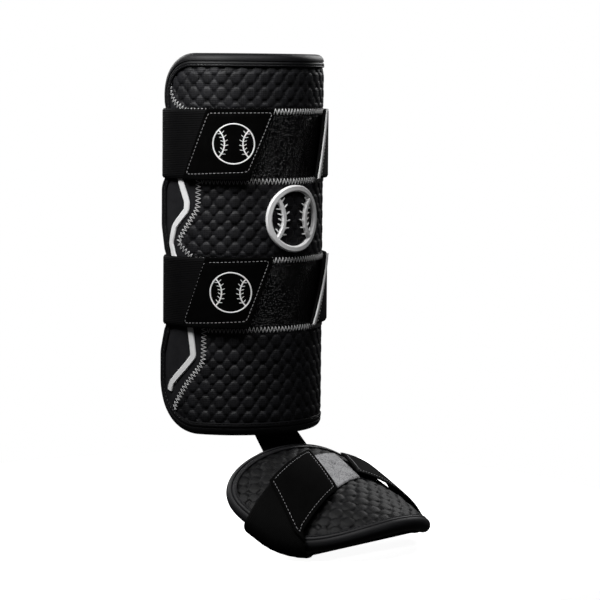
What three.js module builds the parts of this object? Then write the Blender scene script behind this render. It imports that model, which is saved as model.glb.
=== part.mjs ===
// Batter's leg guard: a padded shin guard with two elastic straps, and a domed foot guard on a short band.
// Millimetres, +Z up. The origin is on the leg's axis, half way up the shin guard. The toes point to -Y.
import * as THREE from 'three';

// Clearances
const seatGap = 0.3; // between pieces that lie on each other
const facetRoom = 0.4; // more room under a round face, for the flats between its points
const seamGap = 0.4; // between panels that meet at a seam

// Shin guard
const shinHeight = 280;
const legRadius = 57;
const shinHalfWidth = 111; // from the middle to the edge of the pad, round the outer face
const topCorner = 27;
const bottomCorner = 35;
const padThickness = 6;
const padEdgeThickness = 3.2;
const edgeTaper = 14;
const coverLead = 5; // how much nearer the edge the cover is at its full height than the pad
const skinThickness = 2;
const bindingCover = 4; // how far the binding reaches over the face
const bindingThickness = 1.5;
const lipShare = 0.7; // how thick its cut edge is, of the binding's thickness

// Straps on the shin
const strapWidth = 51;
const strapThickness = 2;
const strapSeat = 1.9; // from the face to the strap, over the raised stripe
const strapEase = 45; // the radius by which a strap eases in towards the edge
const strapTurnOff = THREE.MathUtils.degToRad(138); // heading where it leaves the edge for the back
const upperStrapFromTop = 66; // from the shin guard's top to the strap's middle
const lowerStrapFromBottom = 106;
const strapPress = 2.4; // how far a strap presses the binding's round edge in
const strapPressMargin = 3; // how far that reaches past the strap's sides
const strapEndTop = -21; // slanted front end, from the middle round the face
const strapEndBottom = -40;
const tabLength = 50;
const tabThickness = 1.2;
const tabOverhang = 0.6;
const trimWidth = 3.4;
const trimThickness = 1;
const upperRootTop = 38; // slanted root, from the middle round the face
const upperRootBottom = 22;
const lowerRootTop = 44;
const lowerRootBottom = 17;

const upperStrapHeight = shinHeight / 2 - upperStrapFromTop;
const lowerStrapHeight = lowerStrapFromBottom - shinHeight / 2;

// Raised marks
const stripeWidth = 5.2;
const stripeThickness = 0.8;
const emblemRadius = 24.5;
const emblemHeight = 19.5;
const emblemSeat = 1.2; // from the face to the emblem, whose flats are long
const emblemThickness = 1.6;
const emblemRim = 4;
const emblemSeam = 3.2;
const emblemSeamRadius = 21;
const emblemSeamOffset = 31;

// Foot guard
const footStart = 64; // from the leg's axis to the ankle edge
const footDrop = 8.9; // from the shin guard's bottom to the ankle edge's outer face
const footHeading = THREE.MathUtils.degToRad(1.5);
const footLength = 122;
const footHalfWidth = 80;
const ankleSlope = THREE.MathUtils.degToRad(14.2);
const toeSlope = THREE.MathUtils.degToRad(23);
const ankleRound = 127; // radius across the dome at the ankle
const toeRound = 69.5;
const ankleDepth = 50;
const ankleSquareness = 3.4;
const toeDepth = 62;
const footPadThickness = 4.6;
const footPadEdgeThickness = 3;
const footSkinThickness = 2;
const footBindingThickness = 1.4;

// Strap of the foot guard: across is from the middle line, along is from the ankle edge
const footStrapWidth = 48;
const footStrapThickness = 1.8;
const footStrapSlack = 2; // how far its ankle side stands off the dome on the right
const footBendEase = 2.8; // how much wider than the edge it bends under the dome's left side
const footStrapAlong = 44;
const footStrapLeftSlant = 0.31;
const footStrapRootAlong = 26;
const footStrapRightSlant = 0.5;
const footStrapEnd = -12;
const footStrapRoot = 24;
const footEndSlant = -0.42;
const footTabLength = 54;
const footTabThickness = 1.2;
const loopPatchThickness = 1;
const loopPatchReach = 34; // how far the patch goes past the tab, to the strap's root
const loopPatchBend = 0.2; // how much it bears off towards the ankle there
const loopPatchHidden = 30;
const loopPatchInset = 6; // how much narrower it is than the strap

// Band between the two
const linkWidth = 50;
const linkThickness = 2;
const linkInside = 30; // how far it reaches up inside the shin guard
const linkUnder = 24; // and in under the foot pad
const linkSlope = 7; // length in which it comes down to the pads from over a binding
const linkStart = -3.5; // where its middle is in the shin guard, round from the front
const linkLean = 4.5; // and in the foot guard

// Width of the shin guard by height: shares of the half height and of the half width
const waist = [
  { height: -1.0, width: 1.0 },
  { height: -0.6, width: 1.0 },
  { height: -0.46, width: 0.945 },
  { height: -0.06, width: 0.945 },
  { height: 0.1, width: 0.99 },
  { height: 0.3, width: 0.99 },
  { height: 0.37, width: 0.955 },
  { height: 0.73, width: 0.955 },
  { height: 1.0, width: 0.975 },
];

// Border between wing and panels: shares of the half height, and shares of the half width from the middle
const panelBorder = [
  { height: -0.935, across: 0.885 },
  { height: -0.89, across: 0.86 },
  { height: -0.775, across: 0.77 },
  { height: -0.64, across: 0.635 },
  { height: -0.44, across: 0.63 },
  { height: -0.2, across: 0.63 },
  { height: -0.07, across: 0.715 },
  { height: -0.03, across: 0.78 },
  { height: 0.01, across: 0.84 },
  { height: 0.2, across: 0.678 },
  { height: 0.35, across: 0.678 },
  { height: 0.6, across: 0.65 },
  { height: 0.705, across: 0.73 },
  { height: 0.78, across: 0.885 },
  { height: 0.835, across: 0.915 },
  { height: 0.88, across: 0.955 },
];

// Middle line of the white stripe, in the same shares
const stripeLine = [
  { height: -0.805, across: 0.9 },
  { height: -0.765, across: 0.885 },
  { height: -0.675, across: 0.775 },
  { height: -0.61, across: 0.705 },
  { height: -0.56, across: 0.71 },
  { height: -0.42, across: 0.735 },
  { height: -0.24, across: 0.76 },
  { height: -0.06, across: 0.87 },
  { height: 0.005, across: 0.895 },
  { height: 0.1, across: 0.86 },
  { height: 0.19, across: 0.76 },
  { height: 0.235, across: 0.758 },
  { height: 0.345, across: 0.81 },
  { height: 0.45, across: 0.83 },
];

/** Reads a table at one value of its `key` column, with straight stretches between rows. */
function lookUp(table, key, column, value) {
  const last = table.length - 1;
  const found = table.findIndex((row) => row[key] >= value);
  const above = found < 0 ? last : Math.max(found, 1);
  const low = table[above - 1];
  const high = table[above];
  const share = THREE.MathUtils.clamp((value - low[key]) / (high[key] - low[key]), 0, 1);
  return THREE.MathUtils.lerp(low[column], high[column], share);
}

/** Levels from low to high, with the given stops between them and no step over the longest. */
function levelsBetween(low, high, stops, longest) {
  const marks = [low, ...stops.filter((stop) => stop > low + 1 && stop < high - 1), high];
  const levels = [low];
  for (let i = 1; i < marks.length; i++) {
    const steps = Math.ceil((marks[i] - marks[i - 1]) / longest);
    for (let step = 1; step <= steps; step++) {
      levels.push(THREE.MathUtils.lerp(marks[i - 1], marks[i], step / steps));
    }
  }
  return levels;
}

/** A closed slab on a grid: `at(column, row, side)` gives a point, with side 0 for its inner face and 1 outside. */
function slab(columns, rows, at) {
  const geometry = new THREE.BoxGeometry(1, 1, 1, columns, rows, 1);
  const position = geometry.attributes.position;
  for (let i = 0; i < position.count; i++) {
    const column = Math.round((position.getX(i) + 0.5) * columns);
    const row = Math.round((position.getY(i) + 0.5) * rows);
    const point = at(column, row, Math.round(position.getZ(i) + 0.5));
    position.setXYZ(i, point.x, point.y, point.z);
  }
  geometry.computeVertexNormals();
  return geometry;
}

/** A closed ring: `at(station, corner)` gives a point of the section at each station along a closed loop. */
function ring(stations, corners, at) {
  const geometry = new THREE.TorusGeometry(2, 1, corners, stations);
  const position = geometry.attributes.position;
  for (let i = 0; i < position.count; i++) {
    const corner = Math.floor(i / (stations + 1)) % corners;
    const station = (i % (stations + 1)) % stations;
    const point = at(station, corner);
    position.setXYZ(i, point.x, point.y, point.z);
  }
  geometry.computeVertexNormals();
  return geometry;
}

/** A band of even thickness on a grid of points: path[i][j], i along it and j across it, under its middle by lift. */
function band(path, thickness, lift = 0) {
  const rows = path.length - 1;
  const columns = path[0].length - 1;
  return slab(columns, rows, (column, row, side) => {
    const along = new THREE.Vector3().subVectors(
      path[Math.min(row + 1, rows)][column], path[Math.max(row - 1, 0)][column]);
    const across = new THREE.Vector3().subVectors(
      path[row][Math.min(column + 1, columns)], path[row][Math.max(column - 1, 0)]);
    const normal = across.cross(along).normalize();
    return path[row][column].clone().addScaledVector(normal, lift + (side - 0.5) * thickness);
  });
}

// The shin guard's shell

/** Height of a pad's outer side over its inner side: it thins in a straight ramp towards its edge. */
function padTop(distance, edgeThickness, thickness) {
  return THREE.MathUtils.lerp(edgeThickness, thickness, THREE.MathUtils.clamp(distance / edgeTaper, 0, 1));
}

/** Height of the cover's outer side: the cover reaches its full height a little nearer the edge than the pad. */
function coverTop(distance, edgeThickness, thickness, cover) {
  return padTop(distance + coverLead, edgeThickness, thickness) + seatGap + facetRoom + cover;
}

/** A binding's round nose, which closes over a sheet of the given thickness at its edge. */
function noseAround(stack, thickness) {
  const top = stack + seatGap + thickness;
  const bottom = -seatGap - facetRoom - thickness;
  return { radius: (top - bottom) / 2, height: (top + bottom) / 2 };
}

const faceRadius = legRadius + padThickness + seatGap + facetRoom + skinThickness;
const edgeStack = coverTop(0, padEdgeThickness, padThickness, skinThickness);
const nose = noseAround(edgeStack, bindingThickness);
const padHalfHeight = shinHeight / 2 - nose.radius;

/** A point on the shin's shell: u round the face from the middle, height z, and h out from the pad's inside. */
function shinPoint(u, z, h) {
  const angle = u / faceRadius;
  return new THREE.Vector3((legRadius + h) * Math.sin(angle), -(legRadius + h) * Math.cos(angle), z);
}

/** Heights of the stops round one corner, from the straight side to the top edge. */
function cornerLevels(corner, steps) {
  const levels = [];
  for (let i = 0; i <= steps; i++) {
    levels.push(padHalfHeight - corner + corner * Math.sin((i / steps) * (Math.PI / 2)));
  }
  return levels;
}

const cornerSteps = 4;
const edgeLevels = [
  ...cornerLevels(bottomCorner, cornerSteps).reverse().map((z) => -z),
  ...waist.slice(1, -1).map((row) => row.height * padHalfHeight),
  ...cornerLevels(topCorner, cornerSteps),
];

/** The pad's side edge: how far it is from the middle at each stop, with the round corners. */
const sideEdge = edgeLevels.map((z) => {
  const width = shinHalfWidth * lookUp(waist, 'height', 'width', z / padHalfHeight);
  const corner = z > 0 ? topCorner : bottomCorner;
  const intoCorner = THREE.MathUtils.clamp(Math.abs(z) - (padHalfHeight - corner), 0, corner);
  return { height: z, across: width - corner + Math.sqrt(corner ** 2 - intoCorner ** 2) };
});

function shinEdge(z) {
  return lookUp(sideEdge, 'height', 'across', z);
}

const shinColumns = 18;
const bandColumns = 12;
const edgeStops = edgeLevels.slice(1, -1);
const shinLevels = levelsBetween(-padHalfHeight, padHalfHeight, edgeStops, 30);

/** The outline of the pad, anticlockwise from the bottom left as seen from the front. */
function shinOutline(topSteps) {
  const right = shinLevels.map((z) => ({ u: shinEdge(z), v: z }));
  const left = [...right].reverse().map(({ u, v }) => ({ u: -u, v }));
  const across = (from, to) => {
    const points = [];
    for (let i = 1; i < topSteps; i++) {
      points.push({ u: THREE.MathUtils.lerp(from.u, to.u, i / topSteps), v: from.v });
    }
    return points;
  };
  const top = across(right.at(-1), left[0]);
  const bottom = across(left.at(-1), right[0]);
  return [...right, ...top, ...left, ...bottom];
}

/** Distance from a place on the sheet to its outline. */
function edgeDistance(outline, u, v) {
  let nearest = Infinity;
  outline.forEach((start, i) => {
    const end = outline[(i + 1) % outline.length];
    const du = end.u - start.u;
    const dv = end.v - start.v;
    const share = THREE.MathUtils.clamp(((u - start.u) * du + (v - start.v) * dv) / (du * du + dv * dv), 0, 1);
    nearest = Math.min(nearest, Math.hypot(u - start.u - share * du, v - start.v - share * dv));
  });
  return nearest;
}

/** How far the straps press the shin guard's edge in at height z. */
function pressAt(z) {
  const reach = strapWidth / 2 + strapPressMargin;
  const pressed = [upperStrapHeight, lowerStrapHeight].some((height) => Math.abs(z - height) < reach);
  return pressed ? strapPress : 0;
}

/** A rolled binding: a section that grips both sides of the sheet's edge and ends in a round nose. */
function rolledBinding(outline, place, top, thickness, press = () => 0) {
  const stack = top(0);
  const roll = noseAround(stack, thickness);
  const under = -seatGap - facetRoom;
  const section = [];
  const noseSteps = 4;
  for (let i = 0; i <= noseSteps; i++) {
    const turn = Math.PI * (i / noseSteps - 0.5);
    section.push({ out: roll.radius * Math.cos(turn), height: roll.height + roll.radius * Math.sin(turn) });
  }
  const lip = top(bindingCover);
  section.push({ out: -bindingCover, height: lip + seatGap + thickness * lipShare });
  section.push({ out: -bindingCover, height: lip + seatGap });
  section.push({ out: seatGap, height: stack + seatGap });
  section.push({ out: seatGap, height: under });
  section.push({ out: -bindingCover, height: under });
  section.push({ out: -bindingCover, height: under - thickness * lipShare });
  return ring(outline.length, section.length, (station, corner) => {
    const here = outline[station];
    const before = outline.at(station - 1);
    const after = outline[(station + 1) % outline.length];
    const run = Math.hypot(after.u - before.u, after.v - before.v);
    const { out: full, height } = section[corner];
    const out = full - (press(here.v) * Math.max(full, 0)) / roll.radius;
    const u = here.u + (out * (after.v - before.v)) / run;
    const v = here.v - (out * (after.u - before.u)) / run;
    return place(u, v, height);
  });
}

const outlineOfShin = shinOutline(14);

function shinPadTop(u, z) {
  return padTop(edgeDistance(outlineOfShin, u, z), padEdgeThickness, padThickness);
}

function shinFaceAt(distance) {
  return coverTop(distance, padEdgeThickness, padThickness, skinThickness);
}

function shinFace(u, z) {
  return shinFaceAt(edgeDistance(outlineOfShin, u, z));
}

function makeShinPad() {
  return slab(shinColumns, shinLevels.length - 1, (column, row, side) => {
    const z = shinLevels[row];
    const u = shinEdge(z) * ((2 * column) / shinColumns - 1);
    return shinPoint(u, z, side * shinPadTop(u, z));
  });
}

/** A panel of the cover between two borders given as functions of height. */
function shinPanel(levels, columns, leftAt, rightAt) {
  return slab(columns, levels.length - 1, (column, row, side) => {
    const z = levels[row];
    const u = THREE.MathUtils.lerp(leftAt(z), rightAt(z), column / columns);
    return shinPoint(u, z, shinFace(u, z) - (1 - side) * skinThickness);
  });
}

/** The border between panels and wings at height z, which leaves the wing a narrow strip along the pad's edge. */
function borderAt(z) {
  const drawn = shinHalfWidth * lookUp(panelBorder, 'height', 'across', z / padHalfHeight);
  return Math.min(drawn, shinEdge(z) - bindingCover / 2);
}

const bandReachUp = 26; // from a strap's middle to the top of the band behind it
const bandReachDown = 28;
const upperBandTop = upperStrapHeight + bandReachUp;
const upperBandBottom = upperStrapHeight - bandReachDown;
const lowerBandTop = lowerStrapHeight + bandReachUp;
const lowerBandBottom = lowerStrapHeight - bandReachDown;
const borderStops = panelBorder.map((row) => row.height * padHalfHeight);
const coverStops = [...edgeStops, ...borderStops].sort((a, b) => a - b);
const wingBottom = borderStops[0];
const wingTop = borderStops.at(-1);

/** Half the width of the panels at height z: up to the wings' border, or to the pad's edge past the wings. */
function panelHalf(z) {
  const beyond = z < wingBottom - seamGap || z > wingTop + seamGap;
  return beyond ? shinEdge(z) : borderAt(z) - seamGap / 2;
}

function makeShinPanel(low, high, columns) {
  const bottom = low <= -padHalfHeight ? low : low + seamGap / 2;
  const top = high >= padHalfHeight ? high : high - seamGap / 2;
  const levels = levelsBetween(bottom, top, coverStops, 14);
  return shinPanel(levels, columns, (z) => -panelHalf(z), panelHalf);
}

function makeWing(side) {
  const levels = levelsBetween(wingBottom + seamGap, wingTop - seamGap, coverStops, 18);
  const inner = (z) => side * (borderAt(z) + seamGap / 2);
  const outer = (z) => side * shinEdge(z);
  const [left, right] = side < 0 ? [outer, inner] : [inner, outer];
  return shinPanel(levels, 3, left, right);
}

function makeStripe(side) {
  const heights = stripeLine.map((row) => row.height * padHalfHeight);
  const levels = levelsBetween(heights[0], heights.at(-1), heights.slice(1, -1), 9);
  const rows = levels.length - 1;
  const spot = (row) => {
    const z = levels[THREE.MathUtils.clamp(row, 0, rows)];
    const across = lookUp(stripeLine, 'height', 'across', z / padHalfHeight);
    return new THREE.Vector2(side * across * shinHalfWidth, z);
  };
  return slab(1, rows, (column, row, face) => {
    const run = spot(row + 1).sub(spot(row - 1)).normalize();
    const step = (column - 0.5) * stripeWidth;
    const u = spot(row).x + run.y * step;
    const z = spot(row).y - run.x * step;
    return shinPoint(u, z, shinFace(u, z) + seatGap + facetRoom + face * stripeThickness);
  });
}

/** A generic baseball: a rim with two curved seams, in one raised piece. */
function makeEmblem() {
  const rim = emblemRadius - emblemRim;
  const shape = new THREE.Shape().absarc(0, 0, emblemRadius, 0, 2 * Math.PI);
  const crossing = (radius) => {
    const x = (emblemSeamOffset ** 2 + rim ** 2 - radius ** 2) / (2 * emblemSeamOffset);
    const onRim = Math.acos(x / rim);
    const onSeam = Math.acos((emblemSeamOffset - x) / radius);
    return { onRim, onSeam };
  };
  const inner = crossing(emblemSeamRadius + emblemSeam / 2);
  const outer = crossing(emblemSeamRadius - emblemSeam / 2);
  const middle = new THREE.Path();
  middle.absarc(0, 0, rim, inner.onRim, Math.PI - inner.onRim);
  middle.absarc(-emblemSeamOffset, 0, emblemSeamRadius + emblemSeam / 2, inner.onSeam, -inner.onSeam, true);
  middle.absarc(0, 0, rim, Math.PI + inner.onRim, 2 * Math.PI - inner.onRim);
  middle.absarc(emblemSeamOffset, 0, emblemSeamRadius + emblemSeam / 2,
    Math.PI + inner.onSeam, Math.PI - inner.onSeam, true);
  const right = new THREE.Path();
  right.absarc(0, 0, rim, -outer.onRim, outer.onRim);
  right.absarc(emblemSeamOffset, 0, emblemSeamRadius - emblemSeam / 2, Math.PI - outer.onSeam, Math.PI + outer.onSeam);
  const left = new THREE.Path();
  left.absarc(0, 0, rim, Math.PI - outer.onRim, Math.PI + outer.onRim);
  left.absarc(-emblemSeamOffset, 0, emblemSeamRadius - emblemSeam / 2, -outer.onSeam, outer.onSeam);
  shape.holes.push(middle, left, right);
  const geometry = new THREE.ExtrudeGeometry(shape, { depth: 1, bevelEnabled: false, curveSegments: 6 });
  const position = geometry.attributes.position;
  const seat = shinFace(0, emblemHeight) + emblemSeat;
  for (let i = 0; i < position.count; i++) {
    const u = position.getX(i);
    const z = position.getY(i) + emblemHeight;
    const point = shinPoint(u, z, seat + position.getZ(i) * emblemThickness);
    position.setXYZ(i, point.x, point.y, point.z);
  }
  geometry.computeVertexNormals();
  return geometry;
}

// The straps on the shin: arcs that follow one another, each given by the headings where it ends

const strapRadius = faceRadius + strapSeat + strapThickness / 2;
const turnRadius = nose.radius + seatGap + facetRoom + strapThickness / 2;

/** The arcs of a strap's middle line on the viewer's right, at the pad's edge angle there. */
function strapArcs(edgeAngle) {
  const noseDistance = legRadius + nose.height;
  const edge = new THREE.Vector2(Math.sin(edgeAngle), -Math.cos(edgeAngle)).multiplyScalar(noseDistance);
  const shift = strapRadius - strapEase;
  const reach = strapEase - turnRadius;
  const share = (noseDistance ** 2 + shift ** 2 - reach ** 2) / (2 * shift * noseDistance);
  const easeFrom = edgeAngle - Math.acos(Math.min(share, 1));
  const easeCentre = new THREE.Vector2(Math.sin(easeFrom), -Math.cos(easeFrom)).multiplyScalar(shift);
  const turnFrom = Math.atan2(edge.x - easeCentre.x, easeCentre.y - edge.y);
  const backRadius = turnRadius + edge.x / Math.sin(strapTurnOff);
  const backCentre = new THREE.Vector2(0, edge.y - (turnRadius - backRadius) * Math.cos(strapTurnOff));
  return [
    { until: easeFrom, radius: strapRadius, centre: new THREE.Vector2(), steps: 5 },
    { until: turnFrom, radius: strapEase, centre: easeCentre, steps: 4 },
    { until: strapTurnOff, radius: turnRadius, centre: edge, steps: 3 },
    { until: Math.PI, radius: backRadius, centre: backCentre, steps: 4 },
  ];
}

/** A point beside a strap's middle line where it heads a given way, on either half of its loop. */
function strapPoint(arcs, heading, z, out) {
  const mirrored = heading > Math.PI;
  const turn = mirrored ? 2 * Math.PI - heading : heading;
  const arc = arcs.find(({ until }) => turn <= until + 1e-9);
  const x = arc.centre.x + (arc.radius + out) * Math.sin(turn);
  const y = arc.centre.y - (arc.radius + out) * Math.cos(turn);
  return new THREE.Vector3(mirrored ? -x : x, y, z);
}

const slantRows = 2; // rows of facets across a strap, for its slanted ends
const longestFlat = 8; // length of a facet round the face on what lies over a strap

/** The strap's loop round the leg, from its slanted root on the right to its slanted end on the left in front. */
function makeStrap(height, rootTop, rootBottom) {
  const widest = Math.max(shinEdge(height - strapWidth / 2), shinEdge(height), shinEdge(height + strapWidth / 2));
  const arcs = strapArcs((widest - strapPress) / faceRadius);
  const firstStop = THREE.MathUtils.degToRad(45);
  const headings = [firstStop];
  let from = firstStop;
  for (const { until, steps } of arcs) {
    for (let step = 1; step <= steps; step++) {
      headings.push(THREE.MathUtils.lerp(from, until, step / steps));
    }
    from = until;
  }
  const loop = [...headings, ...headings.slice(0, -1).reverse().map((heading) => 2 * Math.PI - heading)];
  const endSteps = 4;
  const columns = loop.length - 1 + 2 * endSteps;
  return slab(columns, slantRows, (column, row, side) => {
    const share = row / slantRows;
    const root = THREE.MathUtils.lerp(rootBottom, rootTop, share) / strapRadius;
    const end = 2 * Math.PI + THREE.MathUtils.lerp(strapEndBottom, strapEndTop, share) / strapRadius;
    const fromRoot = column / endSteps;
    const fromEnd = (columns - column) / endSteps;
    let heading = loop[THREE.MathUtils.clamp(column - endSteps, 0, loop.length - 1)];
    if (fromRoot < 1) heading = THREE.MathUtils.lerp(root, loop[0], fromRoot);
    if (fromEnd < 1) heading = THREE.MathUtils.lerp(end, loop.at(-1), fromEnd);
    return strapPoint(arcs, heading, height + (share - 0.5) * strapWidth, (side - 0.5) * strapThickness);
  });
}

/** A slanted patch on the shell: its left and right edges run straight from bottom to top. */
function makePatch(height, width, left, right, seat, thickness) {
  const columns = Math.ceil((right.top - left.top) / longestFlat);
  return slab(columns, slantRows, (column, row, side) => {
    const share = row / slantRows;
    const leftEdge = THREE.MathUtils.lerp(left.bottom, left.top, share);
    const rightEdge = THREE.MathUtils.lerp(right.bottom, right.top, share);
    const angle = THREE.MathUtils.lerp(leftEdge, rightEdge, column / columns) / strapRadius;
    const radius = seat + side * thickness;
    return new THREE.Vector3(radius * Math.sin(angle), -radius * Math.cos(angle), height + (share - 0.5) * width);
  });
}

const overStrap = strapRadius + strapThickness / 2 + seatGap + facetRoom;

function makeHookTab(height) {
  const right = { bottom: strapEndBottom + tabOverhang, top: strapEndTop + tabOverhang };
  const left = { bottom: right.bottom - tabLength, top: right.top - tabLength };
  return makePatch(height, strapWidth + 2 * tabOverhang, left, right, overStrap, tabThickness);
}

function makeTrim(height, rootTop, rootBottom) {
  const left = { bottom: rootBottom, top: rootTop };
  const right = { bottom: rootBottom + trimWidth, top: rootTop + trimWidth };
  return makePatch(height, strapWidth, left, right, overStrap, trimThickness);
}

// The foot guard's dome

const footStack = coverTop(0, footPadEdgeThickness, footPadThickness, footSkinThickness);
const footOuter = footStack + seatGap + footBindingThickness;

/** A point of the foot guard: b across from its middle line, a from its ankle edge, h out from the pad's inside. */
function footPoint(b, a, h) {
  const bend = (toeSlope - ankleSlope) / footLength;
  const slope = ankleSlope + bend * a;
  const share = THREE.MathUtils.clamp(a / footLength, 0, 1);
  const round = THREE.MathUtils.lerp(ankleRound, toeRound, share);
  const tilt = b / round;
  const out = h - footOuter;
  const sag = round * (1 - Math.cos(tilt)) - out * Math.cos(tilt);
  const forward = (Math.sin(slope) - Math.sin(ankleSlope)) / bend - sag * Math.sin(slope);
  const down = (Math.cos(ankleSlope) - Math.cos(slope)) / bend + sag * Math.cos(slope);
  const across = (round + out) * Math.sin(tilt);
  return new THREE.Vector3(
    across * Math.cos(footHeading) + forward * Math.sin(footHeading),
    -footStart - forward * Math.cos(footHeading) + across * Math.sin(footHeading),
    -shinHeight / 2 - footDrop - down,
  );
}

function roundedEnd(b, depth, squareness) {
  const share = Math.min(Math.abs(b) / footHalfWidth, 1);
  return depth * (1 - (1 - share ** squareness) ** (1 / squareness));
}

const ankleLine = (b) => roundedEnd(b, ankleDepth, ankleSquareness);
const toeLine = (b) => footLength - roundedEnd(b, toeDepth, 2);

const footColumns = 16;

/** How far the given column of the dome's grid is across it, closer together towards the sides. */
function footAcross(column) {
  return footHalfWidth * Math.sin(((2 * column) / footColumns - 1) * (Math.PI / 2));
}

/** The pad's outline, anticlockwise from its left side at the toes; v runs back from the toes to the ankle at 0. */
function footOutline() {
  const toe = [];
  const ankle = [];
  for (let column = 0; column <= footColumns; column++) {
    const b = footAcross(column);
    toe.push({ u: b, v: -toeLine(b) });
    ankle.push({ u: b, v: -ankleLine(b) });
  }
  return [...toe, ...ankle.reverse()];
}

const outlineOfFoot = footOutline();

function footPadTop(b, a) {
  return padTop(edgeDistance(outlineOfFoot, b, -a), footPadEdgeThickness, footPadThickness);
}

function footFaceAt(distance) {
  return coverTop(distance, footPadEdgeThickness, footPadThickness, footSkinThickness);
}

function footFace(b, a) {
  return footFaceAt(edgeDistance(outlineOfFoot, b, -a));
}

/** A layer of the foot guard out to its outline, between two heights. */
function footLayer(bottomAt, topAt) {
  const rows = 8;
  return slab(footColumns, rows, (column, row, side) => {
    const b = footAcross(column);
    const a = THREE.MathUtils.lerp(toeLine(b), ankleLine(b), row / rows);
    return footPoint(b, a, side ? topAt(b, a) : bottomAt(b, a));
  });
}

// The strap of the foot guard

/** How far along the dome the strap's middle lies, at b across. */
function footStrapAt(b) {
  return b < 0 ? footStrapAlong - footStrapLeftSlant * b : footStrapRootAlong + footStrapRightSlant * b;
}

/** The dome's edge at a along it, where the strap leaves it: its half width, and the way out from the edge. */
function footEdge(a) {
  const intoToe = Math.max(a - (footLength - toeDepth), 0) / toeDepth;
  const across = footHalfWidth * Math.sqrt(Math.max(1 - intoToe ** 2, 0));
  const outward = new THREE.Vector2(across / footHalfWidth ** 2, intoToe / toeDepth).normalize();
  return { across, outward };
}

const footTopFace = coverTop(edgeTaper, footPadEdgeThickness, footPadThickness, footSkinThickness);
const footPatchTop = footTopFace + seatGap + facetRoom + loopPatchThickness;
const footStrapOver = footPatchTop + seatGap + facetRoom + footStrapThickness / 2;
const footNose = noseAround(footStack, footBindingThickness);
const footTurn = footNose.radius + seatGap + facetRoom + footStrapThickness / 2;

const footTurnStops = [75, 40, 5, -30, -65]; // degrees up from the dome's edge

/** Points round the dome's edge, from over it to under it, at a given place across the strap. */
function footStrapTurn(side, w) {
  const a = footStrapAt(side * footHalfWidth) + w;
  const { across, outward } = footEdge(a);
  return footTurnStops.map((degrees) => {
    const turn = THREE.MathUtils.degToRad(degrees);
    const ease = side < 0 ? footBendEase * (1 - Math.max(Math.sin(turn), 0)) : 0;
    const radius = footTurn + ease;
    const reach = radius * Math.cos(turn);
    const b = side * (across + outward.x * reach);
    return footPoint(b, a + outward.y * reach, footNose.height + radius * Math.sin(turn));
  });
}

/** The strap's line at w across it, from its root on the right, under the sole and up to the end given. */
function footStrapLine(w, endAcross) {
  const root = footStrapRoot + footEndSlant * w;
  const end = endAcross + footEndSlant * w;
  const rightEdge = footEdge(footStrapAt(footHalfWidth) + w).across - bindingCover;
  const leftEdge = footEdge(footStrapAt(-footHalfWidth) + w).across - bindingCover;
  const points = [];
  const overSteps = 6;
  for (let i = 0; i < overSteps; i++) {
    const share = i / overSteps;
    const b = THREE.MathUtils.lerp(root, rightEdge, share);
    const lift = footStrapSlack * (0.5 - w / footStrapWidth) * Math.sin(Math.PI * share);
    points.push(footPoint(b, footStrapAt(b) + w, footStrapOver + lift));
  }
  const down = footStrapTurn(1, w);
  const up = footStrapTurn(-1, w).reverse();
  const under = [];
  const underSteps = 6;
  for (let i = 1; i < underSteps; i++) {
    under.push(down.at(-1).clone().lerp(up[0], i / underSteps));
  }
  points.push(...down, ...under, ...up);
  for (let i = 1; i <= overSteps; i++) {
    const b = THREE.MathUtils.lerp(-leftEdge, end, i / overSteps);
    points.push(footPoint(b, footStrapAt(b) + w, footStrapOver));
  }
  return points;
}

function makeFootStrap() {
  const columns = 4;
  const lines = [];
  for (let column = 0; column <= columns; column++) {
    lines.push(footStrapLine((column / columns - 0.5) * footStrapWidth, footStrapEnd));
  }
  const path = lines[0].map((_, i) => lines.map((line) => line[i]));
  return band(path, footStrapThickness);
}

const firstStepsShorter = 1.6; // the power by which the steps grow

/** The last stretch of a line of points, up to its end, in steps that begin short, for the bend there. */
function lastStretch(line, length, steps) {
  const run = new THREE.CurvePath();
  line.slice(1).forEach((point, i) => run.add(new THREE.LineCurve3(line[i], point)));
  const from = 1 - length / run.getLength();
  const points = [];
  for (let i = 0; i <= steps; i++) {
    points.push(run.getPoint(THREE.MathUtils.lerp(from, 1, (i / steps) ** firstStepsShorter)));
  }
  return points;
}

/** The tab lies on the strap's end, and its lower corner follows the strap round the dome's edge. */
function makeFootTab() {
  const columns = 4;
  const rows = 10;
  const lines = [];
  for (let column = 0; column <= columns; column++) {
    const w = (column / columns - 0.5) * (footStrapWidth + 2 * tabOverhang);
    lines.push(lastStretch(footStrapLine(w, footStrapEnd + tabOverhang), footTabLength, rows));
  }
  const path = lines[0].map((_, i) => lines.map((line) => line[i]));
  const lift = (footStrapThickness + footTabThickness) / 2 + seatGap + 2 * facetRoom;
  return band(path, footTabThickness, lift);
}

/** The patch of loop fabric on the dome, along the strap's line between two slanted ends. */
function makeLoopPatch() {
  const width = footStrapWidth - loopPatchInset;
  const from = footStrapEnd - loopPatchHidden;
  const to = footStrapEnd + loopPatchReach;
  const columns = 8;
  const rows = 4;
  return slab(columns, rows, (column, row, side) => {
    const w = (0.5 - row / rows) * width;
    const b = THREE.MathUtils.lerp(from, to, column / columns) + footEndSlant * w;
    const a = footStrapAlong - footStrapLeftSlant * Math.min(b, 0) - loopPatchBend * Math.max(b, 0) + w;
    return footPoint(b, a, footFace(b, a) + seatGap + facetRoom + side * loopPatchThickness);
  });
}

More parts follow.
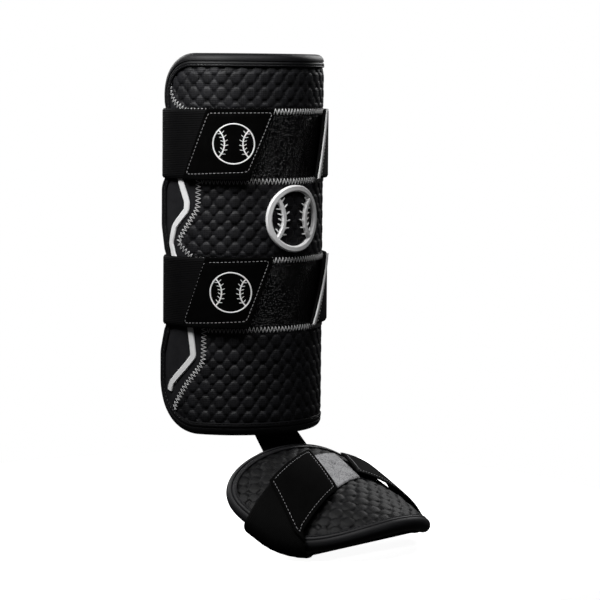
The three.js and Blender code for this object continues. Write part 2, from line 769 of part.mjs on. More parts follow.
/** The band: down the inside of the shin pad, past the foot guard's ankle edge and in under its pad. */
function makeLink() {
  const half = linkThickness / 2;
  const clear = seatGap + bindingThickness + seatGap + facetRoom + half;
  const bottom = -padHalfHeight;
  const around = footNose.radius + seatGap + facetRoom + half;
  const columns = 6;
  const path = [];
  const stations = [
    (u) => shinPoint(u + linkStart, bottom + linkInside, -seatGap - facetRoom - half),
    (u) => shinPoint(u + linkStart, bottom + bindingCover + linkSlope, -seatGap - facetRoom - half),
    (u) => shinPoint(u + linkStart, bottom + bindingCover, -clear),
    (u) => shinPoint(u + linkStart, bottom - nose.radius, -clear),
    (u) => footPoint(u + linkLean, -around, footNose.height),
    (u) => footPoint(u + linkLean, -around * Math.SQRT1_2, footNose.height - around * Math.SQRT1_2),
    (u) => footPoint(u + linkLean, 0, footNose.height - around),
    (u) => footPoint(u + linkLean, bindingCover, footNose.height - around),
    (u) => footPoint(u + linkLean, bindingCover + linkSlope, -seatGap - facetRoom - half),
    (u) => footPoint(u + linkLean, linkUnder, -seatGap - facetRoom - half),
  ];
  for (const station of stations) {
    const row = [];
    for (let column = 0; column <= columns; column++) {
      row.push(station((column / columns - 0.5) * linkWidth));
    }
    path.push(row.reverse());
  }
  return band(path, linkThickness);
}

// Materials and nodes

const black = { color: 0x101011, roughness: 0.8 };
const charcoal = { color: 0x2b2b2d, roughness: 0.75 };
const grey = { color: 0x4a4a4c, roughness: 0.6 };
const glossy = { color: 0x17171a, roughness: 0.45 };
const white = { color: 0xe6e6e6, roughness: 0.5 };

const guard = new THREE.Group();

function addPiece(name, geometry, look) {
  const mesh = new THREE.Mesh(geometry, new THREE.MeshStandardMaterial({ metalness: 0, ...look }));
  mesh.name = name;
  guard.add(mesh);
}

addPiece('shin_pad', makeShinPad(), black);
addPiece('upper_scale_panel', makeShinPanel(upperBandTop, padHalfHeight, shinColumns), black);
addPiece('upper_loop_band', makeShinPanel(upperBandBottom, upperBandTop, bandColumns), glossy);
addPiece('middle_scale_panel', makeShinPanel(lowerBandTop, upperBandBottom, shinColumns), black);
addPiece('lower_loop_band', makeShinPanel(lowerBandBottom, lowerBandTop, bandColumns), glossy);
addPiece('lower_scale_panel', makeShinPanel(-padHalfHeight, lowerBandBottom, shinColumns), black);
addPiece('left_wing', makeWing(-1), charcoal);
addPiece('right_wing', makeWing(1), charcoal);
addPiece('left_stripe', makeStripe(-1), white);
addPiece('right_stripe', makeStripe(1), white);
addPiece('front_emblem', makeEmblem(), white);
addPiece('shin_binding', rolledBinding(outlineOfShin, shinPoint, shinFaceAt, bindingThickness, pressAt), black);
addPiece('upper_strap', makeStrap(upperStrapHeight, upperRootTop, upperRootBottom), black);
addPiece('lower_strap', makeStrap(lowerStrapHeight, lowerRootTop, lowerRootBottom), black);
addPiece('upper_hook_tab', makeHookTab(upperStrapHeight), black);
addPiece('lower_hook_tab', makeHookTab(lowerStrapHeight), black);
addPiece('upper_strap_trim', makeTrim(upperStrapHeight, upperRootTop, upperRootBottom), white);
addPiece('lower_strap_trim', makeTrim(lowerStrapHeight, lowerRootTop, lowerRootBottom), white);
addPiece('ankle_link', makeLink(), black);
addPiece('foot_pad', footLayer(() => 0, footPadTop), black);
addPiece('foot_scale_panel', footLayer((b, a) => footFace(b, a) - footSkinThickness, footFace), black);
addPiece('foot_binding',
  rolledBinding(outlineOfFoot, (u, v, h) => footPoint(u, -v, h), footFaceAt, footBindingThickness), grey);
addPiece('foot_strap', makeFootStrap(), charcoal);
addPiece('foot_hook_tab', makeFootTab(), black);
addPiece('foot_loop_patch', makeLoopPatch(), grey);

export default guard;
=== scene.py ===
# Batter's leg guard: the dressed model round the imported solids.
# Each piece is cut flat in millimetres, as cloth is, and then laid on the curved shell that carries it.
import math

import bpy
import numpy as np
from mathutils import Matrix, Vector


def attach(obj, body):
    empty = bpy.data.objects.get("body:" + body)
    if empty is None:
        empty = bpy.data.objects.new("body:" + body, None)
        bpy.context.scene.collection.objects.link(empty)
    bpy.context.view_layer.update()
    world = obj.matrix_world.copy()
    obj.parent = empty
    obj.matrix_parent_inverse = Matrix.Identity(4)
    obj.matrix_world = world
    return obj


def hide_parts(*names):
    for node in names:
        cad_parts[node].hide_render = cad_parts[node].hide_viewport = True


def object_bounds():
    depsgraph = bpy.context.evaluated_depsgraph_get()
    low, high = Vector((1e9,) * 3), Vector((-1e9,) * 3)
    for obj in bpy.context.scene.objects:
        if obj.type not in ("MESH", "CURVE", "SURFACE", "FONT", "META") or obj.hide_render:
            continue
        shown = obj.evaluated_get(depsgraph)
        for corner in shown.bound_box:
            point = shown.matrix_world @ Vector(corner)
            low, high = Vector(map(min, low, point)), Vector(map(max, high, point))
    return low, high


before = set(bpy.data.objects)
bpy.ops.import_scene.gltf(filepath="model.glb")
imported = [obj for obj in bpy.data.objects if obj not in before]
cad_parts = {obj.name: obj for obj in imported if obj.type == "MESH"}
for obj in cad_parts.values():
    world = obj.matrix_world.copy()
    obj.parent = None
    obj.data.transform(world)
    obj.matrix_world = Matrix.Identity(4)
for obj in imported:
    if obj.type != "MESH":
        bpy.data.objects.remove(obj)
cad_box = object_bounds()

MM = 0.001

# Camera, as the photograph's outline gives it
CAMERA_AZIMUTH = math.radians(41)  # to the viewer's left of the front
CAMERA_DISTANCE = 1.8
CAMERA_HEIGHT = 0.123
AIM_RIGHT = 0.0493
AIM_HEIGHT = -0.0452
CAMERA_ROLL = math.radians(0.5)
CAMERA_LENS = 143.1

# Shin guard, in millimetres
SHIN_HEIGHT = 280.0
LEG_RADIUS = 57.0
SHIN_HALF_WIDTH = 111.0
TOP_CORNER = 27.0
BOTTOM_CORNER = 35.0
PAD_THICKNESS = 6.0
PAD_EDGE = 3.2
EDGE_TAPER = 14.0
COVER_LEAD = 5.0
ROOM = 0.7  # between pieces that lie on each other
SKIN = 2.0
BINDING = 1.5
FACE_RADIUS = LEG_RADIUS + PAD_THICKNESS + ROOM + SKIN

# Straps of the shin guard
STRAP_WIDTH = 51.0
STRAP_THICKNESS = 2.0
STRAP_SEAT = 1.9  # from the face to the strap
STRAP_EASE = 45.0  # the radius by which a strap eases in towards the edge
STRAP_PRESS = 2.4  # how far a strap presses the binding's roll in
STRAP_TURN_OFF = math.radians(138)  # heading where it leaves the edge for the back
UPPER_STRAP = 74.0
LOWER_STRAP = -34.0
STRAP_END = (-40.0, -21.0)  # slanted front end at the strap's bottom and top edge, from the middle
UPPER_ROOT = (22.0, 38.0)
LOWER_ROOT = (17.0, 44.0)
STRAP_RADIUS = FACE_RADIUS + STRAP_SEAT + STRAP_THICKNESS / 2
OVER_STRAP = STRAP_RADIUS + STRAP_THICKNESS / 2 + ROOM
TAB_LENGTH = 50.0
TAB_THICKNESS = 1.2
TAB_OVERHANG = 0.6
TRIM_WIDTH = 3.4

# Corners of the tabs' sewn lines: degrees round from the middle, and height
UPPER_SEWN = [(-57.6, 96.6), (-72.0, 52.0), (-33.9, 54.1), (-19.2, 97.2)]
LOWER_SEWN = [(-59.8, -11.9), (-73.0, -57.0), (-34.2, -54.7), (-20.5, -10.5)]

# Foot guard
FOOT_START = 64.0
FOOT_DROP = 8.9
FOOT_HEADING = math.radians(1.5)
FOOT_LENGTH = 122.0
FOOT_HALF_WIDTH = 80.0
ANKLE_SLOPE = math.radians(14.2)
TOE_SLOPE = math.radians(23)
ANKLE_ROUND = 127.0
TOE_ROUND = 69.5
ANKLE_DEPTH = 50.0
ANKLE_SQUARENESS = 3.4
TOE_DEPTH = 62.0
FOOT_PAD = 4.6
FOOT_EDGE = 3.0
FOOT_BINDING = 1.4

# Strap of the foot guard
FOOT_STRAP_WIDTH = 48.0
FOOT_STRAP_THICKNESS = 1.8
FOOT_STRAP_SLACK = 2.0
FOOT_BEND_EASE = 2.8
FOOT_STRAP_ALONG = 44.0
FOOT_LEFT_SLANT = 0.31
FOOT_ROOT_ALONG = 26.0
FOOT_RIGHT_SLANT = 0.5
FOOT_STRAP_END = -12.0
FOOT_STRAP_ROOT = 24.0
FOOT_END_SLANT = -0.42
FOOT_TAB_LENGTH = 54.0
PATCH_THICKNESS = 1.0
PATCH_HIDDEN = 30.0
PATCH_REACH = 34.0
PATCH_BEND = 0.2
PATCH_INSET = 6.0

# Band between the two
LINK_WIDTH = 50.0
LINK_THICKNESS = 2.0
LINK_INSIDE = 30.0
LINK_UNDER = 24.0
LINK_SLOPE = 7.0
LINK_START = -3.5
LINK_LEAN = 4.5
BINDING_COVER = 4.0

# Outline and borders by height: shares of the pad's half height and of its half width
WAIST = np.array([
    (-1.0, 1.0), (-0.6, 1.0), (-0.46, 0.945), (-0.06, 0.945), (0.1, 0.99),
    (0.3, 0.99), (0.37, 0.955), (0.73, 0.955), (1.0, 0.975),
])
PANEL_BORDER = np.array([
    (-0.935, 0.885), (-0.89, 0.86), (-0.775, 0.77), (-0.64, 0.635), (-0.44, 0.63), (-0.2, 0.63),
    (-0.07, 0.715), (-0.03, 0.78), (0.01, 0.84), (0.2, 0.678), (0.35, 0.678), (0.6, 0.65),
    (0.705, 0.73), (0.78, 0.885), (0.835, 0.915), (0.88, 0.955),
])
STRIPE_LINE = np.array([
    (-0.805, 0.9), (-0.765, 0.885), (-0.675, 0.775), (-0.61, 0.705), (-0.56, 0.71), (-0.42, 0.735),
    (-0.24, 0.76), (-0.06, 0.87), (0.005, 0.895), (0.1, 0.86), (0.19, 0.76), (0.235, 0.758),
    (0.345, 0.81), (0.45, 0.83),
])

# Embossed scales
SCALE_ACROSS = 10.75
SCALE_UP = 11.3
SCALE_HIGH = 1.2
SCALE_LOW = 0.95
SCALE_SINK = 1.0  # how far the valleys between the scales lie under the cover's mean face
SHIN_SCALES = (-58.0, -70.0)
FOOT_SCALES = (0.0, -40.0)


def pad_top(distance, edge, full):
    """Height of a pad, or of the cover on it, a given way in from its edge."""
    return edge + (full - edge) * np.clip(np.asarray(distance, float) / EDGE_TAPER, 0, 1)


def shin_cover_in(distance):
    return pad_top(distance + COVER_LEAD, PAD_EDGE, PAD_THICKNESS) + ROOM + SKIN


def foot_cover_in(distance):
    return pad_top(distance + COVER_LEAD, FOOT_EDGE, FOOT_PAD) + ROOM + SKIN


def nose_round(stack, thickness):
    """Radius and height of a binding's roll over an edge of the given thickness."""
    top = stack + 0.3 + thickness
    bottom = -ROOM - thickness
    return (top - bottom) / 2, (top + bottom) / 2


NOSE_RADIUS, NOSE_HEIGHT = nose_round(float(shin_cover_in(0)), BINDING)
FOOT_NOSE_RADIUS, FOOT_NOSE_HEIGHT = nose_round(float(foot_cover_in(0)), FOOT_BINDING)
FOOT_OUTER = float(foot_cover_in(0)) + 0.3 + FOOT_BINDING
PAD_HALF_HEIGHT = SHIN_HEIGHT / 2 - NOSE_RADIUS
TURN_RADIUS = NOSE_RADIUS + ROOM + STRAP_THICKNESS / 2
FOOT_TURN = FOOT_NOSE_RADIUS + ROOM + FOOT_STRAP_THICKNESS / 2
FOOT_STRAP_OVER = FOOT_PAD + 3 * ROOM + SKIN + PATCH_THICKNESS + FOOT_STRAP_THICKNESS / 2

UPPER_BAND = (UPPER_STRAP - 28, UPPER_STRAP + 26)
LOWER_BAND = (LOWER_STRAP - 28, LOWER_STRAP + 26)
BAND_SEAMS = (97.8, 47.0, -10.8, -61.6)  # heights of the zigzags along the bands
WING_BOTTOM = PANEL_BORDER[0, 0] * PAD_HALF_HEIGHT
WING_TOP = PANEL_BORDER[-1, 0] * PAD_HALF_HEIGHT


# Shells that the flat pieces are laid on: each takes rows of (across, up, height off the lining)

def on_shin(points):
    u, z, h = points.T
    angle = u / FACE_RADIUS
    radius = LEG_RADIUS + h
    return np.column_stack((radius * np.sin(angle), -radius * np.cos(angle), z))


def on_strap(points):
    """The face of a strap where it lies on the shin."""
    u, z, h = points.T
    angle = u / STRAP_RADIUS
    radius = OVER_STRAP + h
    return np.column_stack((radius * np.sin(angle), -radius * np.cos(angle), z))


def on_foot(points):
    """The foot guard's dome: across it, back from its ankle edge as a negative number, and height."""
    b, back, h = points.T
    a = -back
    bend = (TOE_SLOPE - ANKLE_SLOPE) / FOOT_LENGTH
    slope = ANKLE_SLOPE + bend * a
    around = ANKLE_ROUND + (TOE_ROUND - ANKLE_ROUND) * np.clip(a / FOOT_LENGTH, 0, 1)
    out = h - FOOT_OUTER
    tilt = b / around
    sag = around * (1 - np.cos(tilt)) - out * np.cos(tilt)
    forward = (np.sin(slope) - math.sin(ANKLE_SLOPE)) / bend - sag * np.sin(slope)
    down = (math.cos(ANKLE_SLOPE) - np.cos(slope)) / bend + sag * np.cos(slope)
    across = (around + out) * np.sin(tilt)
    return np.column_stack((
        across * math.cos(FOOT_HEADING) + forward * math.sin(FOOT_HEADING),
        -FOOT_START - forward * math.cos(FOOT_HEADING) + across * math.sin(FOOT_HEADING),
        -SHIN_HEIGHT / 2 - FOOT_DROP - down,
    ))


def strap_arcs(edge_angle):
    """Arcs of a shin strap's middle line on one side: the heading where each ends, its radius and centre."""
    nose_distance = LEG_RADIUS + NOSE_HEIGHT
    edge = np.array((math.sin(edge_angle), -math.cos(edge_angle))) * nose_distance
    shift = STRAP_RADIUS - STRAP_EASE
    reach = STRAP_EASE - TURN_RADIUS
    share = (nose_distance ** 2 + shift ** 2 - reach ** 2) / (2 * shift * nose_distance)
    ease_from = edge_angle - math.acos(min(share, 1))
    ease_centre = np.array((math.sin(ease_from), -math.cos(ease_from))) * shift
    turn_from = math.atan2(edge[0] - ease_centre[0], ease_centre[1] - edge[1])
    back_radius = TURN_RADIUS + edge[0] / math.sin(STRAP_TURN_OFF)
    back_centre = np.array((0, edge[1] - (TURN_RADIUS - back_radius) * math.cos(STRAP_TURN_OFF)))
    untils = np.array((ease_from, turn_from, STRAP_TURN_OFF, math.pi))
    radii = np.array((STRAP_RADIUS, STRAP_EASE, TURN_RADIUS, back_radius))
    return untils, radii, np.array((np.zeros(2), ease_centre, edge, back_centre))


def strap_shell(edge_angle):
    """Shell round the whole leg along a strap, starting in front, and its length."""
    untils, radii, centres = strap_arcs(edge_angle)

    def point(heading, out):
        turn = np.minimum(heading, 2 * math.pi - heading)
        arc = np.minimum(np.searchsorted(untils, turn), 3)
        x = centres[arc, 0] + (radii[arc] + out) * np.sin(turn)
        y = centres[arc, 1] - (radii[arc] + out) * np.cos(turn)
        return np.column_stack((np.where(heading > math.pi, -x, x), y))

    headings = np.linspace(0, 2 * math.pi, 1441)
    steps = np.linalg.norm(np.diff(point(headings, 0), axis=0), axis=1)
    lengths = np.concatenate(([0], np.cumsum(steps)))

    def shell(points):
        run, z, h = points.T
        return np.column_stack((point(np.interp(run, lengths, headings), h), z))

    return shell, lengths[-1]


def ribbon_shell(lines, width):
    """Shell along a ribbon, given as lines of points from one long edge to the other, and its length."""
    table = np.array([rounded(spread(line, 240), 3) for line in lines])
    length = float(np.mean([np.sum(np.linalg.norm(np.diff(line, axis=0), axis=1)) for line in table]))
    normals = np.cross(np.gradient(table, axis=0), np.gradient(table, axis=1))
    normals /= np.linalg.norm(normals, axis=2)[:, :, None]

    def shell(points):
        across, run, h = points.T
        i = np.clip((across / width + 0.5) * (len(table) - 1), 0, len(table) - 1.001)
        j = np.clip(run / length * 239, 0, 238.999)
        i0 = i.astype(int)
        j0 = j.astype(int)
        di = (i - i0)[:, None]
        dj = (j - j0)[:, None]

        def read(grid):
            near = grid[i0, j0] * (1 - dj) + grid[i0, j0 + 1] * dj
            far = grid[i0 + 1, j0] * (1 - dj) + grid[i0 + 1, j0 + 1] * dj
            return near * (1 - di) + far * di

        return read(table) + read(normals) * h[:, None]

    return shell, length


# Lines in the flat pattern

def spread(line, count):
    """A given number of points at even steps along a line."""
    line = np.asarray(line, float)
    run = np.concatenate(([0], np.cumsum(np.linalg.norm(np.diff(line, axis=0), axis=1))))
    at = np.linspace(0, run[-1], count)
    return np.column_stack([np.interp(at, run, column) for column in line.T])


def evenly(line, step, closed=False):
    """Points along a line about a step apart."""
    line = np.asarray(line, float)
    if closed:
        line = np.vstack((line, line[:1]))
    length = np.sum(np.linalg.norm(np.diff(line, axis=0), axis=1))
    points = spread(line, max(2, round(length / step) + 1))
    return points[:-1] if closed else points


def rounded(line, turns, closed=False):
    """The same line with softer corners: each turn averages every point with its neighbours."""
    line = np.array(line, float)
    for _ in range(turns):
        if closed:
            line = (np.roll(line, 1, 0) + 2 * line + np.roll(line, -1, 0)) / 4
        else:
            line[1:-1] = (line[:-2] + 2 * line[1:-1] + line[2:]) / 4
    return line


def ways(line, closed=False):
    """The unit step along a line at each of its points."""
    if closed:
        way = np.roll(line, -1, 0) - np.roll(line, 1, 0)
    else:
        way = np.gradient(line, axis=0)
    return way / np.linalg.norm(way, axis=1)[:, None]


def beside(line, out, closed=False):
    """The line moved to its right by a distance."""
    way = ways(line, closed)
    return line + out * np.column_stack((way[:, 1], -way[:, 0]))


def distance_to(outline, u, v):
    """Distance of each place to a closed outline."""
    nearest = np.full(u.shape, np.inf)
    for (x, y), (dx, dy) in zip(outline, np.roll(outline, -1, 0) - outline):
        share = np.clip(((u - x) * dx + (v - y) * dy) / (dx * dx + dy * dy), 0, 1)
        nearest = np.minimum(nearest, np.hypot(u - x - share * dx, v - y - share * dy))
    return nearest


def shin_edge(z):
    """Half width of the pad at height z, with its round corners."""
    z = np.asarray(z, float)
    width = SHIN_HALF_WIDTH * np.interp(z / PAD_HALF_HEIGHT, WAIST[:, 0], WAIST[:, 1])
    corner = np.where(z > 0, TOP_CORNER, BOTTOM_CORNER)
    into = np.clip(np.abs(z) - (PAD_HALF_HEIGHT - corner), 0, corner)
    return width - corner + np.sqrt(corner ** 2 - into ** 2)


def border_at(z):
    """Where the wings meet the panels at height z."""
    z = np.asarray(z, float)
    drawn = SHIN_HALF_WIDTH * np.interp(z / PAD_HALF_HEIGHT, PANEL_BORDER[:, 0], PANEL_BORDER[:, 1])
    return np.minimum(drawn, shin_edge(z) - 2)


def panel_half(z):
    z = np.asarray(z, float)
    beside_wing = (z > WING_BOTTOM) & (z < WING_TOP)
    return np.where(beside_wing, border_at(z), shin_edge(z))


def shin_outline(step):
    """The pad's outline, anticlockwise from its bottom right corner, seen from the front."""
    heights = PAD_HALF_HEIGHT * np.sin(np.linspace(-math.pi / 2, math.pi / 2, 400))
    right = np.column_stack((shin_edge(heights), heights))
    return evenly(np.vstack((right, right[::-1] * (-1, 1))), step, closed=True)


def rounded_end(b, depth, squareness):
    share = np.minimum(np.abs(b) / FOOT_HALF_WIDTH, 1)
    return depth * (1 - (1 - share ** squareness) ** (1 / squareness))


def ankle_line(b):
    return -rounded_end(b, ANKLE_DEPTH, ANKLE_SQUARENESS)


def toe_line(b):
    return -FOOT_LENGTH + rounded_end(b, TOE_DEPTH, 2)


def foot_outline(step):
    """The foot pad's outline, anticlockwise from its left side by the toes and back by the ankle."""
    b = FOOT_HALF_WIDTH * np.sin(np.linspace(-math.pi / 2, math.pi / 2, 400))
    toe = np.column_stack((b, toe_line(b)))
    ankle = np.column_stack((b, ankle_line(b)))[::-1]
    return evenly(np.vstack((toe, ankle)), step, closed=True)


SHIN_OUTLINE = shin_outline(6)
FOOT_OUTLINE = foot_outline(4)


def shin_cover(u, z):
    return shin_cover_in(distance_to(SHIN_OUTLINE, u, z))


def foot_cover(b, back):
    return foot_cover_in(distance_to(FOOT_OUTLINE, b, back))


# Making pieces

def coordinates(piece):
    flat = np.empty(len(piece.data.vertices) * 3)
    piece.data.vertices.foreach_get("co", flat)
    return flat.reshape(-1, 3)


def move_to(piece, points):
    piece.data.vertices.foreach_set("co", np.ascontiguousarray(points).ravel())
    piece.data.update()


def flat_sheet(name, columns, rows):
    """A flat grid from -1 to 1 each way."""
    bpy.ops.object.select_all(action="DESELECT")
    bpy.ops.mesh.primitive_grid_add(x_subdivisions=columns, y_subdivisions=rows, size=2)
    piece = bpy.context.object
    piece.name = name
    return piece


def edit(*steps):
    """Runs edit mode steps on everything in the active piece."""
    bpy.ops.object.mode_set(mode="EDIT")
    bpy.ops.mesh.select_all(action="SELECT")
    for step in steps:
        step()
    bpy.ops.object.mode_set(mode="OBJECT")


def keep_pattern(piece, across, up):
    """Stores the flat pattern in the piece's UV map: 1 is 100 mm, so that weaves follow the cloth."""
    corners = np.empty(len(piece.data.loops), dtype=np.int32)
    piece.data.loops.foreach_get("vertex_index", corners)
    layer = piece.data.uv_layers.active or piece.data.uv_layers.new(name="pattern")
    layer.data.foreach_set("uv", (np.column_stack((across, up))[corners] / 100).ravel())


def place(piece, shell, look, replaced=(), sharp=35):
    """Lays the flat piece on its shell, shades and paints it, and fixes it to the guard."""
    points = coordinates(piece)
    keep_pattern(piece, points[:, 0], points[:, 1])
    move_to(piece, shell(points) * MM)
    bpy.ops.object.select_all(action="DESELECT")
    piece.select_set(True)
    bpy.context.view_layer.objects.active = piece
    bpy.ops.object.shade_smooth_by_angle(angle=math.radians(sharp))
    piece.data.materials.clear()
    piece.data.materials.append(look)
    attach(piece, "root")
    if replaced:
        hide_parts(*replaced)
    return piece


def sheet_of(name, columns, rows, shape):
    """A closed piece of cloth: shape(s, t) gives its place in the pattern and the heights of its faces."""
    piece = flat_sheet(name, columns, rows)
    edit(
        lambda: bpy.ops.mesh.extrude_region_move(TRANSFORM_OT_translate={"value": (0, 0, 1)}),
        lambda: bpy.ops.mesh.select_all(action="SELECT"),
        lambda: bpy.ops.mesh.normals_make_consistent(inside=False),
    )
    points = coordinates(piece)
    u, v, under, over = shape((points[:, 0] + 1) / 2, (points[:, 1] + 1) / 2)
    move_to(piece, np.column_stack((u, v, np.where(points[:, 2] > 0.5, over, under))))
    return piece


def swept(name, line, section, closed, base=None):
    """A tape swept along a line of the pattern: section rows are (out to the right of the way, height)."""
    line = np.asarray(line, float)
    section = np.asarray(section, float)
    spans = len(line) if closed else len(line) - 1
    piece = flat_sheet(name, spans, len(section))
    points = coordinates(piece)
    station = np.rint((points[:, 0] + 1) / 2 * spans).astype(int) % len(line)
    corner = np.rint((points[:, 1] + 1) / 2 * len(section)).astype(int) % len(section)
    way = ways(line, closed)
    out = section[corner, 0]
    u = line[station, 0] + out * way[station, 1]
    v = line[station, 1] - out * way[station, 0]
    height = section[corner, 1] + (base(u, v) if base else 0)
    move_to(piece, np.column_stack((u, v, height)))
    edit(
        lambda: bpy.ops.mesh.remove_doubles(threshold=1e-4),
        lambda: bpy.ops.mesh.fill_holes(sides=0),
        lambda: bpy.ops.mesh.normals_make_consistent(inside=False),
    )
    return piece


def joined(name, pieces):
    """One piece out of several."""
    bpy.ops.object.select_all(action="DESELECT")
    for piece in pieces:
        piece.select_set(True)
    bpy.context.view_layer.objects.active = pieces[0]
    bpy.ops.object.join()
    pieces[0].name = name
    return pieces[0]


def sewn(name, starts, ends, radius, sink):
    """Stitches as one mesh of short round threads, each with its ends pulled down into the cloth."""
    sides = 5
    shares = np.array([0, 0.15, 0.5, 0.85, 1])
    swell = np.array([0.4, 0.9, 1, 0.9, 0.4])
    way = ends - starts
    way /= np.linalg.norm(way, axis=1)[:, None]
    side = np.column_stack((-way[:, 1], way[:, 0], np.zeros(len(way))))
    side /= np.linalg.norm(side, axis=1)[:, None]
    up = np.cross(way, side)
    turn = 2 * math.pi * np.arange(sides) / sides
    middle = starts[:, None] + (ends - starts)[:, None] * shares[None, :, None]
    middle = middle - up[:, None] * (sink * (2 * shares - 1) ** 4)[None, :, None]
    ring = (np.cos(turn)[None, None, :, None] * side[:, None, None]
            + np.sin(turn)[None, None, :, None] * up[:, None, None])
    vertices = middle[:, :, None] + radius * swell[None, :, None, None] * ring
    first = np.arange(len(way))[:, None] * len(shares) * sides
    here = (np.arange(len(shares) - 1)[:, None] * sides + np.arange(sides)).ravel()
    beyond = (np.arange(len(shares) - 1)[:, None] * sides + (np.arange(sides) + 1) % sides).ravel()
    walls = np.stack((here, here + sides, beyond + sides, beyond), axis=1)
    quads = (first[:, :, None] + walls[None]).reshape(-1, 4).tolist()
    near_caps = (first + np.arange(sides)).tolist()
    far_caps = (first + (len(shares) - 1) * sides + np.arange(sides)[::-1]).tolist()
    mesh = bpy.data.meshes.new(name)
    mesh.from_pydata(vertices.reshape(-1, 3).tolist(), [], quads + near_caps + far_caps)
    piece = bpy.data.objects.new(name, mesh)
    bpy.context.scene.collection.objects.link(piece)
    bpy.ops.object.select_all(action="DESELECT")
    piece.select_set(True)
    bpy.context.view_layer.objects.active = piece
    edit(lambda: bpy.ops.mesh.normals_make_consistent(inside=False))
    return piece


def zigzag(line, width, pitch, height):
    """Starts and ends of zigzag stitches along a line of the pattern."""
    points = evenly(line, pitch / 2)
    way = ways(points)
    out = np.column_stack((way[:, 1], -way[:, 0])) * (width / 2)
    out[::2] *= -1
    tips = points + out
    tips = np.column_stack((tips, height(tips[:, 0], tips[:, 1])))
    return tips[:-1], tips[1:]


def dashes(line, stitch, gap, height, closed=False):
    """Starts and ends of running stitches along a line of the pattern."""
    if closed:
        line = np.vstack((line, line[:1]))
    points = evenly(line, (stitch + gap) / 8)
    points = np.column_stack((points, height(points[:, 0], points[:, 1])))
    length = round(8 * stitch / (stitch + gap))
    starts = points[:-8:8]
    ends = points[length::8][:len(starts)]
    return starts, ends


def several(runs):
    """Puts several (starts, ends) pairs of stitches together."""
    return np.vstack([starts for starts, _ in runs]), np.vstack([ends for _, ends in runs])


def edge_round(inside, reach):
    """0 at an edge and 1 a reach inside it, as a quarter of a circle."""
    return np.sqrt(np.clip(1 - (1 - np.clip(inside / reach, 0, 1)) ** 2, 0, 1))


# Materials

def linear(code):
    """An sRGB hex colour as Blender's linear numbers."""
    parts = [int(code[i:i + 2], 16) / 255 for i in (1, 3, 5)]
    return [c / 12.92 if c <= 0.04045 else ((c + 0.055) / 1.055) ** 2.4 for c in parts] + [1]


def material(name):
    made = bpy.data.materials.new(name)
    made.use_nodes = True
    return made, made.node_tree, made.node_tree.nodes["Principled BSDF"]


def node(tree, kind, settings=None, **links):
    """Adds a node: settings are its own values, links give an input a value or the socket that feeds it."""
    added = tree.nodes.new(kind)
    for key, value in (settings or {}).items():
        setattr(added, key, value)
    for key, value in links.items():
        wanted = key.replace("_", " ")
        socket = next(s for s in added.inputs if s.name == wanted and s.enabled and not s.is_linked)
        if isinstance(value, bpy.types.NodeSocket):
            tree.links.new(value, socket)
        else:
            socket.default_value = value
    return added


def pattern_of(tree):
    return node(tree, "ShaderNodeUVMap").outputs["UV"]


def per_mm(pitch):
    """Scale of a cell texture whose cells are pitch millimetres wide in the pattern."""
    return 100 / pitch


def bands_per_mm(pitch):
    """Scale of a wave texture whose bands are pitch millimetres apart."""
    return 100 / pitch * math.pi / 10


def cloth(name, dark, light, rough, sheen, gloss, weave, relief, blotch=12):
    """Dyed cloth: weave(tree, uv) gives its thread pattern, relief the depth of that in millimetres."""
    made, tree, shader = material(name)
    uv = pattern_of(tree)
    threads = weave(tree, uv)
    spots = node(tree, "ShaderNodeTexNoise", Vector=uv, Scale=per_mm(blotch), Detail=4.0, Roughness=0.6)
    mixed = node(tree, "ShaderNodeMath", {"operation": "MULTIPLY_ADD"})
    tree.links.new(threads, mixed.inputs[0])
    mixed.inputs[1].default_value = 0.9
    tree.links.new(spots.outputs[0], mixed.inputs[2])
    ramp = node(tree, "ShaderNodeValToRGB", Fac=mixed.outputs[0])
    ramp.color_ramp.elements[0].position = 0.6
    ramp.color_ramp.elements[0].color = linear(dark)
    ramp.color_ramp.elements[1].position = 1.0
    ramp.color_ramp.elements[1].color = linear(light)
    tree.links.new(ramp.outputs["Color"], shader.inputs["Base Color"])
    shader.inputs["Roughness"].default_value = rough
    shader.inputs["Sheen Weight"].default_value = sheen
    shader.inputs["Sheen Roughness"].default_value = 0.4
    shader.inputs["Sheen Tint"].default_value = linear("#b0b0b6")
    shader.inputs["Specular IOR Level"].default_value = gloss
    bump = node(tree, "ShaderNodeBump", Height=threads, Distance=relief * MM, Strength=1.0)
    tree.links.new(bump.outputs["Normal"], shader.inputs["Normal"])
    return made


def knit(pitch, uneven=0.15):
    """Fine warp knit: a nearly regular net of small holes."""
    def weave(tree, uv):
        cells = node(tree, "ShaderNodeTexVoronoi", Vector=uv, Scale=per_mm(pitch), Randomness=uneven)
        return cells.outputs["Distance"]
    return weave


def ribs(pitch, tilt):
    """Threads that lie in lines, pitch millimetres apart, crossed by a finer weft."""
    def weave(tree, uv):
        turned = node(tree, "ShaderNodeMapping", Vector=uv, Rotation=(0, 0, tilt))
        lines = node(tree, "ShaderNodeTexWave", Vector=turned.outputs[0],
                     Scale=bands_per_mm(pitch), Distortion=0.4)
        weft = node(tree, "ShaderNodeTexWave", {"bands_direction": "Y"}, Vector=turned.outputs[0],
                    Scale=bands_per_mm(pitch * 0.8), Distortion=0.6)
        both = node(tree, "ShaderNodeMath", {"operation": "MULTIPLY_ADD"})
        tree.links.new(weft.outputs["Fac"], both.inputs[0])
        both.inputs[1].default_value = 0.35
        tree.links.new(lines.outputs["Fac"], both.inputs[2])
        return both.outputs[0]
    return weave


def fleece(grain):
    """Brushed loops: an uneven grain of small curls that face every way."""
    return knit(grain, 1.0)


